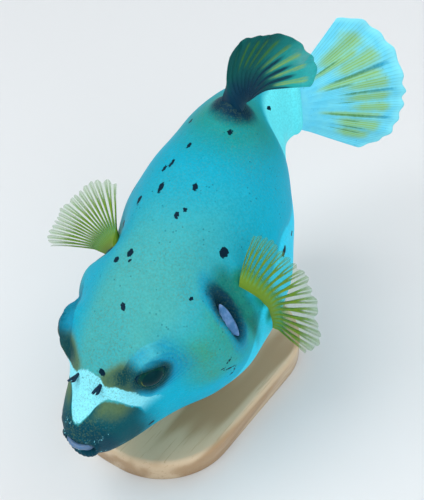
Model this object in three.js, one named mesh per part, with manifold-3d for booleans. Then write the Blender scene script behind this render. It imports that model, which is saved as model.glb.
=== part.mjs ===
// Blackspotted pufferfish: a still, life-size model on a plain display stand.
//
// Units are millimetres and +Z is up. The origin is the centre of the stand base's underside. The
// head faces -Y and the fish's left side is toward +X. The fish noses down, and its tail bends to
// its left, with the tail fin and the dorsal fin turned up.
//
// The body is one surface: cross-sections of two half superellipses, carried along a bent spine,
// with a few soft swellings. It is parted into head, trunk and tail stalk by thin flat gaps. Each
// fin is a fan of rays, as one curved plate, whose root sits in a slot of the flesh.
import * as THREE from 'three';
import { mergeVertices } from 'three/addons/utils/BufferGeometryUtils.js';
import Module from 'manifold-3d';

const wasm = await Module();
wasm.setup();

// ---- Driving dimensions -----------------------------------------------------------------------

const BODY_LENGTH = 205; // snout to the root of the tail fin
const GAP = 0.3; // clearance between pieces that touch
const NOSE_DOWN = 21; // degrees
const ROLL_TO_RIGHT = 6; // degrees
const MIDDLE_HEIGHT = 82; // height of the body's middle, on its straight axis, above the floor
const MIDDLE_SHARE = 0.5; // where that middle lies, as a share of BODY_LENGTH
const MIDDLE_FORWARD = 6; // how far the middle lies behind the base's centre

// Cross-sections. Columns: place along the body, half width, height of the back, depth of the
// belly, and height of the widest line, all as shares of BODY_LENGTH.
const SECTIONS = [
  [0.0, 0.046, 0.033, 0.048, 0.0],
  [0.02, 0.063, 0.053, 0.074, 0.0],
  [0.05, 0.074, 0.068, 0.094, -0.005],
  [0.09, 0.088, 0.09, 0.114, -0.01],
  [0.14, 0.104, 0.126, 0.14, -0.015],
  [0.2, 0.126, 0.161, 0.169, -0.02],
  [0.28, 0.168, 0.19, 0.198, -0.02],
  [0.38, 0.198, 0.209, 0.219, -0.02],
  [0.5, 0.202, 0.22, 0.221, -0.02],
  [0.62, 0.185, 0.213, 0.206, -0.018],
  [0.73, 0.152, 0.188, 0.172, -0.01],
  [0.82, 0.116, 0.156, 0.146, 0.0],
  [0.9, 0.084, 0.121, 0.124, -0.004],
  [0.96, 0.058, 0.099, 0.094, -0.002],
  [1.0, 0.036, 0.094, 0.072, 0.005],
];
const BACK_ROUNDNESS = 2.1; // superellipse exponents: 2 is an ellipse
const BELLY_ROUNDNESS = 2.2;

// The spine's bend. Columns: place along the body, turn to the left, roll that lifts the left
// flank, and dip, in degrees.
const BENDS = [
  [0.0, -2, -3, 0],
  [0.3, 6, 2, 0],
  [0.5, -11, 0, 0],
  [0.75, -18, -16, 4],
  [1.0, 52, 22, 12],
];
const SPINE_STEPS = 200;

// Soft swellings of the flesh: centre (along, out, up), reach on those axes, and push (out, up).
// Those off the middle line come in a pair.
const SWELLINGS = [
  { at: [0.2, 0.125, 0.112], reach: [0.067, 0.086, 0.06], push: [0.035, 0.0215] }, // eye brow
  { at: [0.3, 0.165, -0.03], reach: [0.08, 0.08, 0.1], push: [0.012, 0.0] }, // cheek
  { at: [0.24, 0.13, 0.13], reach: [0.025, 0.05, 0.06], push: [-0.015, -0.008] }, // behind the brow
  { at: [0.317, 0.15, 0.1], reach: [0.052, 0.07, 0.1], push: [0.03, 0.0026] }, // gill cover
  { at: [0.411, 0.14, 0.12], reach: [0.11, 0.08, 0.09], push: [-0.0235, -0.012] }, // behind the gill cover
  { at: [0.425, 0.2, 0.035], reach: [0.035, 0.06, 0.055], push: [0.018, 0.0] }, // pectoral base
  { at: [0.775, 0.0, 0.18], reach: [0.05, 0.05, 0.06], push: [0.0, 0.05] }, // dorsal base
  { at: [0.785, 0.0, -0.145], reach: [0.05, 0.035, 0.05], push: [0.0, -0.026] }, // anal base
  { at: [0.89, 0.06, -0.07], reach: [0.075, 0.05, 0.06], push: [0.026, -0.006] }, // tail stalk's lower edge
];

// Where the flesh is parted, as shares of BODY_LENGTH, and how finely each length is built.
const AROUND = 32;
const TOP_CROWDING = 18; // degrees by which the points round a section crowd toward the back
const SNOUT_CROWDING = 1.45; // power by which the head's rows close up toward the snout
const LENGTHS = [
  { name: 'head', from: 0.0, to: 0.402, rows: 20 },
  { name: 'trunk_front', from: 0.402, to: 0.6, rows: 6 },
  { name: 'trunk_rear', from: 0.6, to: 0.87, rows: 10 },
  { name: 'tail_stalk', from: 0.87, to: 1.0, rows: 6 },
];

// The tail stalk's rounded end: how far past the body's length, and the section's two scales.
const TAIL_END = [
  { past: 0.018, wide: 0.75, high: 0.86 },
  { past: 0.026, wide: 0.4, high: 0.7 },
];

// An eye's centre is given along, out and up as shares of BODY_LENGTH, and its facing as (left,
// back, up). Round it the flesh is drawn to a flat seat, which fades out at the brow's edge.
const EYE = {
  centre: [0.192, 0.1, 0.098],
  facing: [0.89, -0.42, 0.05],
  radius: 8.4,
  seat: 4.6,
  flatTo: 8.5,
  fadeTo: 16,
};
const EYE_SEGMENTS = [14, 10]; // round it, and from pole to pole
const NOSTRIL = { at: 0.11, angle: 73, height: 4.8, width: 2.4, thickness: 1.6, rooted: 1.2 };
// The nasal tentacle's forked outline: its stalk's half width as a share of NOSTRIL.width / 2, and
// the two tips and the fork as (share of that half width, share of NOSTRIL.height).
const NOSTRIL_STALK = 0.7;
const NOSTRIL_TIPS = [[1.2, 1.0], [-1.1, 0.9]];
const NOSTRIL_FORK = [0.3, 0.68];
const NOSTRIL_SEGMENTS = 4;
const MOUTH = { halfWidth: 7.0, halfHeight: 3.9, depth: 5.5, drop: 1.4 };
const MOUTH_SEGMENTS = [14, 8];
const TOOTH = { outer: [5.6, 4.8], inner: [3.4, 2.8], height: 2.6, opening: 1.0, setBack: 4.0 };
const TOOTH_ARC = [200, 340]; // degrees, with the mouth's left side at 0
const TOOTH_SEGMENTS = 7;
const GILL = { at: 0.371, angle: 23.5, long: 11, wide: 4, deep: 4.2, slant: 22 };
const GILL_SEGMENTS = [12, 8];
const FLAP = { long: 8.6, wide: 2.1, deep: 1.2 };
const FLAP_SEGMENTS = [10, 6];

// Fins. A root runs from the first ray to the last. Ways are the directions of the first, middle
// and last ray as (left, back, up) at the root, and lengths are shares of BODY_LENGTH.
const FIN_TIP_THICKNESS = 0.8;
const CORNER_ROUNDING = 0.12; // how much the first and last rays fall short, past the curve of lengths
const FIN_THINNED = 0.45; // share of a ray by which its root's thickness has gone
const FIN_ROOTED = 4; // how deep a root sits in the flesh
const SLOT_ROOM = 0.7; // clearance round a fin's root
const TAIL_FIN = {
  rays: 11,
  rootFirst: [1.0, 0.0, 0.07],
  rootMiddle: [1.015, 0.0, 0.012],
  rootLast: [1.0, 0.0, -0.048],
  ways: [[-0.154, 0.682, 0.715], [0.0, 1.0, -0.02], [-0.096, 0.842, -0.53]],
  lengths: [0.213, 0.2683, 0.2185],
  curl: [-0.04, 0.0, 0.0],
  rootThickness: 4.0,
};
const DORSAL_FIN = {
  rays: 11,
  rootFirst: [0.755, 0.0, 0.225],
  rootMiddle: [0.785, 0.014, 0.222],
  rootLast: [0.81, 0.028, 0.208],
  ways: [[-0.33, 0.3, 0.9], [0.22, 0.47, 0.86], [0.88, 0.47, -0.02]],
  lengths: [0.141, 0.162, 0.144],
  curl: [0.22, 0.04, -0.05],
  rootThickness: 5.0,
};
const ANAL_FIN = {
  rays: 11,
  rootFirst: [0.75, 0.0, -0.17],
  rootMiddle: [0.785, 0.0, -0.16],
  rootLast: [0.82, 0.0, -0.145],
  ways: [[-0.1, 0.4, -0.9], [0.15, 0.65, -0.75], [0.45, 0.8, -0.35]],
  lengths: [0.13, 0.18, 0.15],
  curl: [0.0, 0.05, 0.0],
  rootThickness: 4.6,
};
const PECTORAL = { at: 0.43, rays: 18, rootThickness: 3.8 };
const LEFT_PECTORAL = {
  angles: [29, 12, -20],
  ways: [[0.23, 0.483, 0.845], [0.662, 0.226, 0.714], [0.865, -0.34, -0.37]],
  lengths: [0.1476, 0.1488, 0.1003],
  curl: [0.05, 0.0, -0.12],
};
const RIGHT_PECTORAL = {
  angles: [37, 28, 17],
  ways: [[-0.1, 0.644, 0.758], [-0.815, 0.25, 0.522], [-0.975, -0.156, 0.157]],
  lengths: [0.1726, 0.1628, 0.1698],
  curl: [0.0, -0.02, -0.16],
};
const RAY_STEPS = 6; // steps along a ray
const FAN_NUDGE = 0.01; // share of a fan stepped over to find its slope
const SHARE_NUDGE = 0.004; // share of the body's length stepped over to find the flesh's slope
const ANGLE_NUDGE = 2; // degrees

const BASE = { length: 130, width: 80, height: 12, corner: 36, bevel: 1.5 };
const BASE_ARC_STEPS = 6;
const ROD_RADIUS = 3;
const ROD_SIDES = 16;
const ROD_ROOTED = 5; // how far a rod stands in the base and in the belly
const ROD_SHARES = [0.37, 0.6]; // where the rods meet the belly

const MERGE_DISTANCE = 1e-4; // points nearer than this are one point

// ---- Materials --------------------------------------------------------------------------------

const material = (color, roughness, metalness = 0) =>
  new THREE.MeshStandardMaterial({ color, roughness, metalness });
const SKIN = 0x4fb9bf;
const PALE_FIN = 0xbfe3d6;
const OLIVE_FIN = 0x8aa64a;
const DARK_FIN = 0x1d5a52;
const EYE_DARK = 0x16261f;
const NAVY = 0x0d2c44;
const TOOTH_PALE = 0xc9cbdc;
const FLAP_PALE = 0x8fa9d6;
const WOOD = 0xc9b18c;
const STEEL = 0xb8bcc0;

// ---- Curves and frames ------------------------------------------------------------------------

// A smooth curve through rising xs that never overshoots its ys (monotone cubic).
function curveThrough(xs, ys) {
  const last = xs.length - 1;
  const steps = xs.slice(1).map((x, i) => x - xs[i]);
  const slopes = steps.map((step, i) => (ys[i + 1] - ys[i]) / step);
  const tangents = xs.map((_, i) => {
    if (i === 0) return slopes[0];
    if (i === last) return slopes[last - 1];
    if (slopes[i - 1] * slopes[i] <= 0) return 0;
    const before = steps[i - 1] + 2 * steps[i];
    const after = steps[i] + 2 * steps[i - 1];
    return (before + after) / (before / slopes[i - 1] + after / slopes[i]);
  });
  return (x) => {
    let i = 0;
    while (i < last - 1 && x > xs[i + 1]) i += 1;
    const t = THREE.MathUtils.clamp((x - xs[i]) / steps[i], 0, 1);
    const rise = t * t * (3 - 2 * t);
    const leave = t * (1 - t) * (1 - t) * steps[i] * tangents[i];
    const arrive = t * t * (t - 1) * steps[i] * tangents[i + 1];
    return ys[i] + (ys[i + 1] - ys[i]) * rise + leave + arrive;
  };
}

const column = (rows, index) => rows.map((row) => row[index]);
const sectionCurves = [1, 2, 3, 4].map((k) => curveThrough(column(SECTIONS, 0), column(SECTIONS, k)));
const bendCurves = [1, 2, 3].map((k) => curveThrough(column(BENDS, 0), column(BENDS, k)));

// The spine's left, back and up directions at a share of the body's length.
function spineAxes(share) {
  const [turn, roll, dip] = bendCurves.map((curve) => THREE.MathUtils.degToRad(curve(share)));
  const back = new THREE.Vector3(Math.sin(turn), Math.cos(turn), 0).multiplyScalar(Math.cos(dip));
  back.z = -Math.sin(dip);
  const flatLeft = new THREE.Vector3(Math.cos(turn), -Math.sin(turn), 0);
  const flatUp = new THREE.Vector3().crossVectors(flatLeft, back);
  const left = flatLeft.clone().multiplyScalar(Math.cos(roll)).addScaledVector(flatUp, Math.sin(roll));
  const up = flatUp.clone().multiplyScalar(Math.cos(roll)).addScaledVector(flatLeft, -Math.sin(roll));
  return { left, back, up };
}

// Points of the spine, from the snout at the origin, in shares of BODY_LENGTH.
const spinePoints = [new THREE.Vector3()];
for (let i = 1; i <= SPINE_STEPS; i += 1) {
  const { back } = spineAxes((i - 0.5) / SPINE_STEPS);
  spinePoints.push(spinePoints[i - 1].clone().addScaledVector(back, 1 / SPINE_STEPS));
}

// The frame at a share of the body's length; past the tail root it goes straight on.
function spineFrame(share) {
  const inside = THREE.MathUtils.clamp(share, 0, 1);
  const axes = spineAxes(inside);
  const place = inside * SPINE_STEPS;
  const i = Math.min(Math.floor(place), SPINE_STEPS - 1);
  const centre = spinePoints[i].clone().lerp(spinePoints[i + 1], place - i);
  centre.addScaledVector(axes.back, share - inside);
  return { centre, ...axes };
}

// A point given along, out to the left and up, in shares of BODY_LENGTH.
function bodyPoint(along, out, up) {
  const frame = spineFrame(along);
  const point = frame.centre.clone();
  point.addScaledVector(frame.left, out);
  point.addScaledVector(frame.up, up);
  return point.multiplyScalar(BODY_LENGTH);
}

// A direction given as (left, back, up) in the frame at a share of the body's length.
function bodyDirection(share, [left, back, up]) {
  const frame = spineFrame(share);
  const way = frame.left.clone().multiplyScalar(left);
  way.addScaledVector(frame.back, back);
  way.addScaledVector(frame.up, up);
  return way.normalize();
}

// The flesh's outline in a cross-section: (out, up) at an angle from the left side, in degrees.
function fleshOutline(share, angle) {
  const [halfWidth, back, belly, widest] = sectionCurves.map((curve) => curve(Math.min(share, 1)));
  const turn = THREE.MathUtils.degToRad(angle);
  const across = Math.cos(turn);
  const rise = Math.sin(turn);
  const power = 2 / (rise >= 0 ? BACK_ROUNDNESS : BELLY_ROUNDNESS);
  const reach = rise >= 0 ? back - widest : belly + widest;
  let out = halfWidth * Math.sign(across) * Math.abs(across) ** power;
  let up = widest + reach * Math.sign(rise) * Math.abs(rise) ** power;
  const plainOut = out;
  const plainUp = up;
  for (const { at, reach: size, push } of SWELLINGS) {
    const sides = at[1] === 0 ? [1] : [1, -1];
    for (const side of sides) {
      const along = (share - at[0]) / size[0];
      const sideways = (plainOut - side * at[1]) / size[1];
      const high = (plainUp - at[2]) / size[2];
      const swell = Math.exp(-along * along - sideways * sideways - high * high);
      out += side * push[0] * swell;
      up += push[1] * swell;
    }
  }
  return [out, up];
}

// An eye's centre and facing. Side is +1 for the left and -1 for the right.
function eyeFrame(side) {
  const [along, out, up] = EYE.centre;
  const [left, back, rise] = EYE.facing;
  return {
    centre: bodyPoint(along, side * out, up),
    facing: bodyDirection(along, [side * left, back, rise]),
  };
}
const eyes = [1, -1].map(eyeFrame);

// Draws a point of the flesh to the flat seat round an eye.
function seatEyes(point) {
  for (const { centre, facing } of eyes) {
    const offset = point.clone().sub(centre);
    const height = offset.dot(facing);
    const aside = offset.addScaledVector(facing, -height).length();
    const pull = 1 - THREE.MathUtils.smoothstep(aside, EYE.flatTo, EYE.fadeTo);
    if (height > 0) point.addScaledVector(facing, pull * (EYE.seat - height));
  }
  return point;
}

function fleshPoint(share, angle) {
  const [out, up] = fleshOutline(share, angle);
  return seatEyes(bodyPoint(share, out, up));
}

// The outward normal of the flesh at a point.
function fleshNormal(share, angle) {
  const alongStep = fleshPoint(share + SHARE_NUDGE, angle);
  alongStep.sub(fleshPoint(share - SHARE_NUDGE, angle));
  const aroundStep = fleshPoint(share, angle + ANGLE_NUDGE);
  aroundStep.sub(fleshPoint(share, angle - ANGLE_NUDGE));
  return alongStep.cross(aroundStep).normalize();
}

// ---- Solids -----------------------------------------------------------------------------------

function toSolid(geometry) {
  const bare = new THREE.BufferGeometry();
  bare.setAttribute('position', geometry.getAttribute('position').clone());
  if (geometry.index) bare.setIndex(geometry.index.clone());
  const merged = mergeVertices(bare, MERGE_DISTANCE);
  return new wasm.Manifold(new wasm.Mesh({
    numProp: 3,
    vertProperties: Float32Array.from(merged.getAttribute('position').array),
    triVerts: Uint32Array.from(merged.index.array),
  }));
}

function toMesh(name, solid, look) {
  const shape = solid.getMesh();
  const geometry = new THREE.BufferGeometry();
  geometry.setAttribute('position', new THREE.BufferAttribute(shape.vertProperties, 3));
  geometry.setIndex(new THREE.BufferAttribute(shape.triVerts, 1));
  geometry.computeVertexNormals();
  const mesh = new THREE.Mesh(geometry, look);
  mesh.name = name;
  return mesh;
}

function geometryFrom(points, triangles) {
  const geometry = new THREE.BufferGeometry().setFromPoints(points);
  geometry.setIndex(triangles);
  return geometry;
}

// A closed solid through rings of the same even size. Each end is a strip across its ring.
function loft(rings) {
  const size = rings[0].length;
  const points = rings.flat();
  const triangles = [];
  for (let i = 0; i + 1 < rings.length; i += 1) {
    for (let j = 0; j < size; j += 1) {
      const next = (j + 1) % size;
      const a = i * size + j;
      const b = i * size + next;
      triangles.push(a, b, b + size, a, b + size, a + size);
    }
  }
  const lastRing = (rings.length - 1) * size;
  for (let j = 0; j + 1 < size / 2; j += 1) {
    const near = [j, j + 1, size - 2 - j, size - 1 - j];
    const far = near.map((k) => lastRing + k);
    triangles.push(near[0], near[2], near[1], near[0], near[3], near[2]);
    triangles.push(far[0], far[1], far[2], far[0], far[2], far[3]);
  }
  const solid = toSolid(geometryFrom(points, triangles));
  return solid.volume() > 0 ? solid : toSolid(geometryFrom(points, triangles.reverse()));
}

// An ellipsoid with half axes along three directions that make a right-handed frame.
function ellipsoid(centre, [x, y, z], halves, segments) {
  const geometry = new THREE.SphereGeometry(1, ...segments);
  geometry.scale(...halves);
  geometry.applyMatrix4(new THREE.Matrix4().makeBasis(x, y, z));
  geometry.translate(centre.x, centre.y, centre.z);
  return toSolid(geometry);
}

// ---- Flesh ------------------------------------------------------------------------------------

function fleshRing(share, widthScale = 1, heightScale = 1) {
  const ring = [];
  for (let j = 0; j < AROUND; j += 1) {
    const turn = j / AROUND;
    const angle = -90 + 360 * turn + TOP_CROWDING * Math.sin(2 * Math.PI * turn);
    const [out, up] = fleshOutline(share, angle);
    ring.push(seatEyes(bodyPoint(share, out * widthScale, up * heightScale)));
  }
  return ring;
}

function fleshLength({ from, to, rows }) {
  const start = from === 0 ? 0 : from + GAP / BODY_LENGTH;
  const rings = [];
  for (let i = 0; i <= rows; i += 1) {
    const t = i / rows;
    const share = from === 0 ? t ** SNOUT_CROWDING : t;
    rings.push(fleshRing(start + (to - start) * share));
  }
  if (to === 1) {
    for (const { past, wide, high } of TAIL_END) rings.push(fleshRing(to + past, wide, high));
  }
  return loft(rings);
}

// ---- Fins -------------------------------------------------------------------------------------

// The value at t from 0 to 1 of the parabola through three values.
const bow = (first, middle, last, t) =>
  first * (1 - t) * (1 - 2 * t) + middle * 4 * t * (1 - t) + last * t * (2 * t - 1);
const bowVector = (three, t) => [0, 1, 2].map((k) => bow(three[0][k], three[1][k], three[2][k], t));

const rayLength = (lengths, t) =>
  BODY_LENGTH * bow(...lengths, t) * (1 - CORNER_ROUNDING * (2 * t - 1) ** 8);

// A fan of rays as one closed plate. Grow adds a margin all round, for cutting the root's slot.
function finSolid({ rays, rootAt, wayAt, lengthAt, curl, rootThickness }, grow = 0) {
  const centreAt = (t, u) => {
    const length = lengthAt(t);
    const point = rootAt(t).clone();
    point.addScaledVector(wayAt(t), u * length);
    return point.addScaledVector(curl, u * Math.abs(u) * length);
  };
  const rows = [];
  for (let i = 0; i < rays; i += 1) {
    const t = i / (rays - 1);
    const margin = 2 * grow * (i === 0 ? -1 : Number(i === rays - 1));
    const rootEnd = -FIN_ROOTED / lengthAt(t);
    const row = [];
    for (let j = grow > 0 ? -1 : 0; j <= RAY_STEPS; j += 1) {
      const deeper = j < 0 ? (-2 * grow) / lengthAt(t) : 0;
      const u = THREE.MathUtils.lerp(rootEnd, 1, Math.max(j, 0) / RAY_STEPS) + deeper;
      const along = centreAt(t, u + FAN_NUDGE).sub(centreAt(t, u - FAN_NUDGE));
      const after = centreAt(Math.min(t + FAN_NUDGE, 1), u);
      const across = after.sub(centreAt(Math.max(t - FAN_NUDGE, 0), u));
      const side = along.cross(across).normalize();
      const thinning = THREE.MathUtils.smoothstep(u, 0, FIN_THINNED);
      const thickness = THREE.MathUtils.lerp(rootThickness, FIN_TIP_THICKNESS, thinning);
      const centre = centreAt(t, u).addScaledVector(across.normalize(), margin);
      row.push([
        centre.clone().addScaledVector(side, thickness / 2 + grow),
        centre.clone().addScaledVector(side, -thickness / 2 - grow),
      ]);
    }
    rows.push(row);
  }
  const rings = rows.map((row) => [
    ...row.map((pair) => pair[0]),
    ...row.map((pair) => pair[1]).reverse(),
  ]);
  return loft(rings);
}

const along3 = (three, t) => bodyPoint(...bowVector(three, t));

function medianFin({ rays, rootFirst, rootMiddle, rootLast, ways, lengths, curl, rootThickness }) {
  const place = rootMiddle[0];
  return {
    rays,
    rootThickness,
    rootAt: (t) => along3([rootFirst, rootMiddle, rootLast], t),
    wayAt: (t) => bodyDirection(place, bowVector(ways, t)),
    lengthAt: (t) => rayLength(lengths, t),
    curl: curlVector(place, curl),
  };
}

function curlVector(share, amounts) {
  const size = Math.hypot(...amounts);
  return bodyDirection(share, amounts).multiplyScalar(size);
}

function pectoralFin({ angles, ways, lengths, curl }, side) {
  const angleAt = (t) => {
    const angle = bow(...angles, t);
    return side > 0 ? angle : 180 - angle;
  };
  return {
    rays: PECTORAL.rays,
    rootThickness: PECTORAL.rootThickness,
    rootAt: (t) => fleshPoint(PECTORAL.at, angleAt(t)),
    wayAt: (t) => bodyDirection(PECTORAL.at, bowVector(ways, t)),
    lengthAt: (t) => rayLength(lengths, t),
    curl: curlVector(PECTORAL.at, curl),
  };
}

// ---- Head details -----------------------------------------------------------------------------

function eyeSolid({ centre, facing }, grow = 0) {
  const radius = EYE.radius + grow;
  const across = new THREE.Vector3(0, 0, 1).cross(facing).normalize();
  const over = facing.clone().cross(across);
  const axes = [across, facing.clone().negate(), over];
  return ellipsoid(centre, axes, [radius, radius, radius], EYE_SEGMENTS);
}

// Nasal tentacle: a short fleshy stalk that forks into two flat lobes.
function nostrilSolid(side, grow = 0) {
  const angle = side > 0 ? NOSTRIL.angle : 180 - NOSTRIL.angle;
  const up = fleshNormal(NOSTRIL.at, angle);
  const back = bodyDirection(NOSTRIL.at, [0, 1, 0]);
  const across = new THREE.Vector3().crossVectors(back, up).normalize();
  const facing = new THREE.Vector3().crossVectors(across, up).normalize();
  const outline = new THREE.Shape();
  const half = NOSTRIL.width / 2 + grow;
  const top = NOSTRIL.height + grow;
  const stalk = half * NOSTRIL_STALK;
  const [forkWidth, forkHeight] = NOSTRIL_FORK;
  const [firstTip, secondTip] = NOSTRIL_TIPS;
  outline.moveTo(-stalk, -NOSTRIL.rooted - grow);
  outline.lineTo(stalk, -NOSTRIL.rooted - grow);
  outline.quadraticCurveTo(stalk, top * forkHeight, half * firstTip[0], top * firstTip[1]);
  outline.quadraticCurveTo(half * forkWidth, top, 0, top * forkHeight);
  outline.quadraticCurveTo(-half * forkWidth, top, half * secondTip[0], top * secondTip[1]);
  outline.quadraticCurveTo(-stalk, top * forkHeight, -stalk, -NOSTRIL.rooted - grow);
  const depth = NOSTRIL.thickness + 2 * grow;
  const geometry = new THREE.ExtrudeGeometry(outline, {
    depth,
    bevelEnabled: false,
    curveSegments: NOSTRIL_SEGMENTS,
  });
  geometry.translate(0, 0, -depth / 2);
  geometry.applyMatrix4(new THREE.Matrix4().makeBasis(across, up, facing));
  const foot = fleshPoint(NOSTRIL.at, angle);
  geometry.translate(foot.x, foot.y, foot.z);
  return toSolid(geometry);
}

function mouthFrame() {
  const { left, back, up } = spineFrame(0);
  const centre = bodyPoint(0, 0, 0).addScaledVector(up, -MOUTH.drop);
  return { centre, left, back, up };
}

function mouthPit() {
  const { centre, left, back, up } = mouthFrame();
  const halves = [MOUTH.halfWidth, MOUTH.depth, MOUTH.halfHeight];
  return ellipsoid(centre, [left, back, up], halves, MOUTH_SEGMENTS);
}

// A beak plate: part of an oval ring, open to the rear. Side is +1 for the upper, -1 for the lower.
function toothSolid(side, grow = 0) {
  const { centre, left, back, up } = mouthFrame();
  const outline = new THREE.Shape();
  const outer = TOOTH.outer.map((half) => half + grow);
  const inner = TOOTH.inner.map((half) => half - grow);
  const [from, to] = TOOTH_ARC.map((angle) => THREE.MathUtils.degToRad(angle));
  outline.absellipse(0, 0, ...outer, from, to, false, 0);
  outline.absellipse(0, 0, ...inner, to, from, true, 0);
  const depth = TOOTH.height + 2 * grow;
  const geometry = new THREE.ExtrudeGeometry(outline, {
    depth,
    bevelEnabled: false,
    curveSegments: TOOTH_SEGMENTS,
  });
  const low = side > 0 ? TOOTH.opening / 2 : -TOOTH.opening / 2 - TOOTH.height;
  geometry.translate(0, TOOTH.setBack, low - grow);
  geometry.applyMatrix4(new THREE.Matrix4().makeBasis(left, back, up));
  geometry.translate(centre.x, centre.y, centre.z);
  return toSolid(geometry);
}

// The gill slit's own frame: along the slit, out of the flesh and across the slit.
function gillFrame(side) {
  const angle = side > 0 ? GILL.angle : 180 - GILL.angle;
  const out = fleshNormal(GILL.at, angle);
  const rough = bodyDirection(GILL.at, [0, Math.sin(THREE.MathUtils.degToRad(GILL.slant)), 1]);
  const across = new THREE.Vector3().crossVectors(rough, out).normalize();
  const long = new THREE.Vector3().crossVectors(out, across).normalize();
  return { centre: fleshPoint(GILL.at, angle), long, out, across };
}

function gillPit(side) {
  const { centre, long, out, across } = gillFrame(side);
  return ellipsoid(centre, [long, out, across], [GILL.long, GILL.deep, GILL.wide], GILL_SEGMENTS);
}

function gillFlap(side, grow = 0) {
  const { centre, long, out, across } = gillFrame(side);
  const halves = [FLAP.long + grow, FLAP.deep + grow, FLAP.wide + grow];
  const seat = centre.clone().addScaledVector(out, -GILL.deep + 2 * FLAP.deep);
  return ellipsoid(seat, [long, out, across], halves, FLAP_SEGMENTS);
}

// ---- Stand ------------------------------------------------------------------------------------

function standBase() {
  const { length, width, height, corner, bevel } = BASE;
  const x = width / 2 - bevel;
  const y = length / 2 - bevel;
  const outline = new THREE.Shape();
  outline.moveTo(x, -y + corner);
  outline.lineTo(x, y - corner);
  outline.absarc(x - corner, y - corner, corner, 0, Math.PI / 2, false);
  outline.lineTo(-x + corner, y);
  outline.absarc(-x + corner, y - corner, corner, Math.PI / 2, Math.PI, false);
  outline.lineTo(-x, -y + corner);
  outline.absarc(-x + corner, -y + corner, corner, Math.PI, 1.5 * Math.PI, false);
  outline.lineTo(x - corner, -y);
  outline.absarc(x - corner, -y + corner, corner, 1.5 * Math.PI, 2 * Math.PI, false);
  const geometry = new THREE.ExtrudeGeometry(outline, {
    depth: height - 2 * bevel,
    bevelEnabled: true,
    bevelThickness: bevel,
    bevelSize: bevel,
    bevelSegments: 1,
    curveSegments: BASE_ARC_STEPS,
  });
  geometry.translate(0, 0, bevel);
  return toSolid(geometry);
}

function rod(x, y, low, high, grow = 0) {
  const length = high - low + 2 * grow;
  const geometry = new THREE.CylinderGeometry(ROD_RADIUS + grow, ROD_RADIUS + grow, length, ROD_SIDES);
  geometry.rotateX(Math.PI / 2);
  geometry.translate(x, y, (low + high) / 2);
  return toSolid(geometry);
}

// ---- Putting it together ----------------------------------------------------------------------

// The fish stands in its own frame inside this group.
const fish = new THREE.Group();
fish.rotation.order = 'YXZ';
fish.rotation.set(THREE.MathUtils.degToRad(NOSE_DOWN), THREE.MathUtils.degToRad(-ROLL_TO_RIGHT), 0);
const middle = new THREE.Vector3(0, MIDDLE_SHARE * BODY_LENGTH, 0).applyEuler(fish.rotation);
fish.position.set(-middle.x, MIDDLE_FORWARD - middle.y, MIDDLE_HEIGHT - middle.z);
fish.updateMatrixWorld(true);
const toFish = fish.matrixWorld.clone().invert();

const fins = {
  caudal_fin: medianFin(TAIL_FIN),
  dorsal_fin: medianFin(DORSAL_FIN),
  anal_fin: medianFin(ANAL_FIN),
  pectoral_fin_left: pectoralFin(LEFT_PECTORAL, 1),
  pectoral_fin_right: pectoralFin(RIGHT_PECTORAL, -1),
};
const finLooks = {
  caudal_fin: PALE_FIN,
  dorsal_fin: DARK_FIN,
  anal_fin: DARK_FIN,
  pectoral_fin_left: OLIVE_FIN,
  pectoral_fin_right: OLIVE_FIN,
};

// The rods rise from the base to the belly's lowest line.
const rods = ROD_SHARES.map((share) => {
  const belly = fleshPoint(share, -90).applyMatrix4(fish.matrixWorld);
  return { x: belly.x, y: belly.y, low: BASE.height - ROD_ROOTED, high: belly.z + ROD_ROOTED };
});

const cuts = [
  ...Object.values(fins).map((fin) => finSolid(fin, SLOT_ROOM)),
  ...eyes.map((eye) => eyeSolid(eye, GAP)),
  ...[1, -1].flatMap((side) => [nostrilSolid(side, GAP), gillPit(side)]),
  ...[1, -1].flatMap((side) => [toothSolid(side, GAP), gillFlap(side, GAP)]),
  mouthPit(),
  ...rods.map(({ x, y, low, high }) => rod(x, y, low, high, GAP).transform(toFish.toArray())),
];

for (const length of LENGTHS) {
  const flesh = cuts.reduce((solid, cut) => solid.subtract(cut), fleshLength(length));
  fish.add(toMesh(length.name, flesh, material(SKIN, 0.5)));
}
for (const [name, fin] of Object.entries(fins)) {
  fish.add(toMesh(name, finSolid(fin), material(finLooks[name], 0.5)));
}
for (const [word, side, eye] of [['left', 1, eyes[0]], ['right', -1, eyes[1]]]) {
  fish.add(toMesh(`eye_${word}`, eyeSolid(eye), material(EYE_DARK, 0.08)));
  fish.add(toMesh(`nostril_${word}`, nostrilSolid(side), material(NAVY, 0.5)));
  fish.add(toMesh(`gill_flap_${word}`, gillFlap(side), material(FLAP_PALE, 0.5)));
}
fish.add(toMesh('tooth_upper', toothSolid(1), material(TOOTH_PALE, 0.25)));
fish.add(toMesh('tooth_lower', toothSolid(-1), material(TOOTH_PALE, 0.25)));

const model = new THREE.Group();
model.add(fish);
const sockets = rods.map(({ x, y, low, high }) => rod(x, y, low, high, GAP));
const base = sockets.reduce((solid, socket) => solid.subtract(socket), standBase());
model.add(toMesh('stand_base', base, material(WOOD, 0.45)));
rods.forEach(({ x, y, low, high }, i) => {
  const name = i === 0 ? 'stand_rod_front' : 'stand_rod_rear';
  model.add(toMesh(name, rod(x, y, low, high), material(STEEL, 0.3, 1)));
});

export default model;
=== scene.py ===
"""A blackspotted pufferfish on a plain display stand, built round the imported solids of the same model.

Everything is in metres, in the solids' own frame: +Z up, the head toward -Y, the fish's left toward +X.
Places on the body are given along it, as a share of its length from the snout, and round it, in degrees
from its left side, with the back at 90 and the belly at -90.
"""
import math

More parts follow.
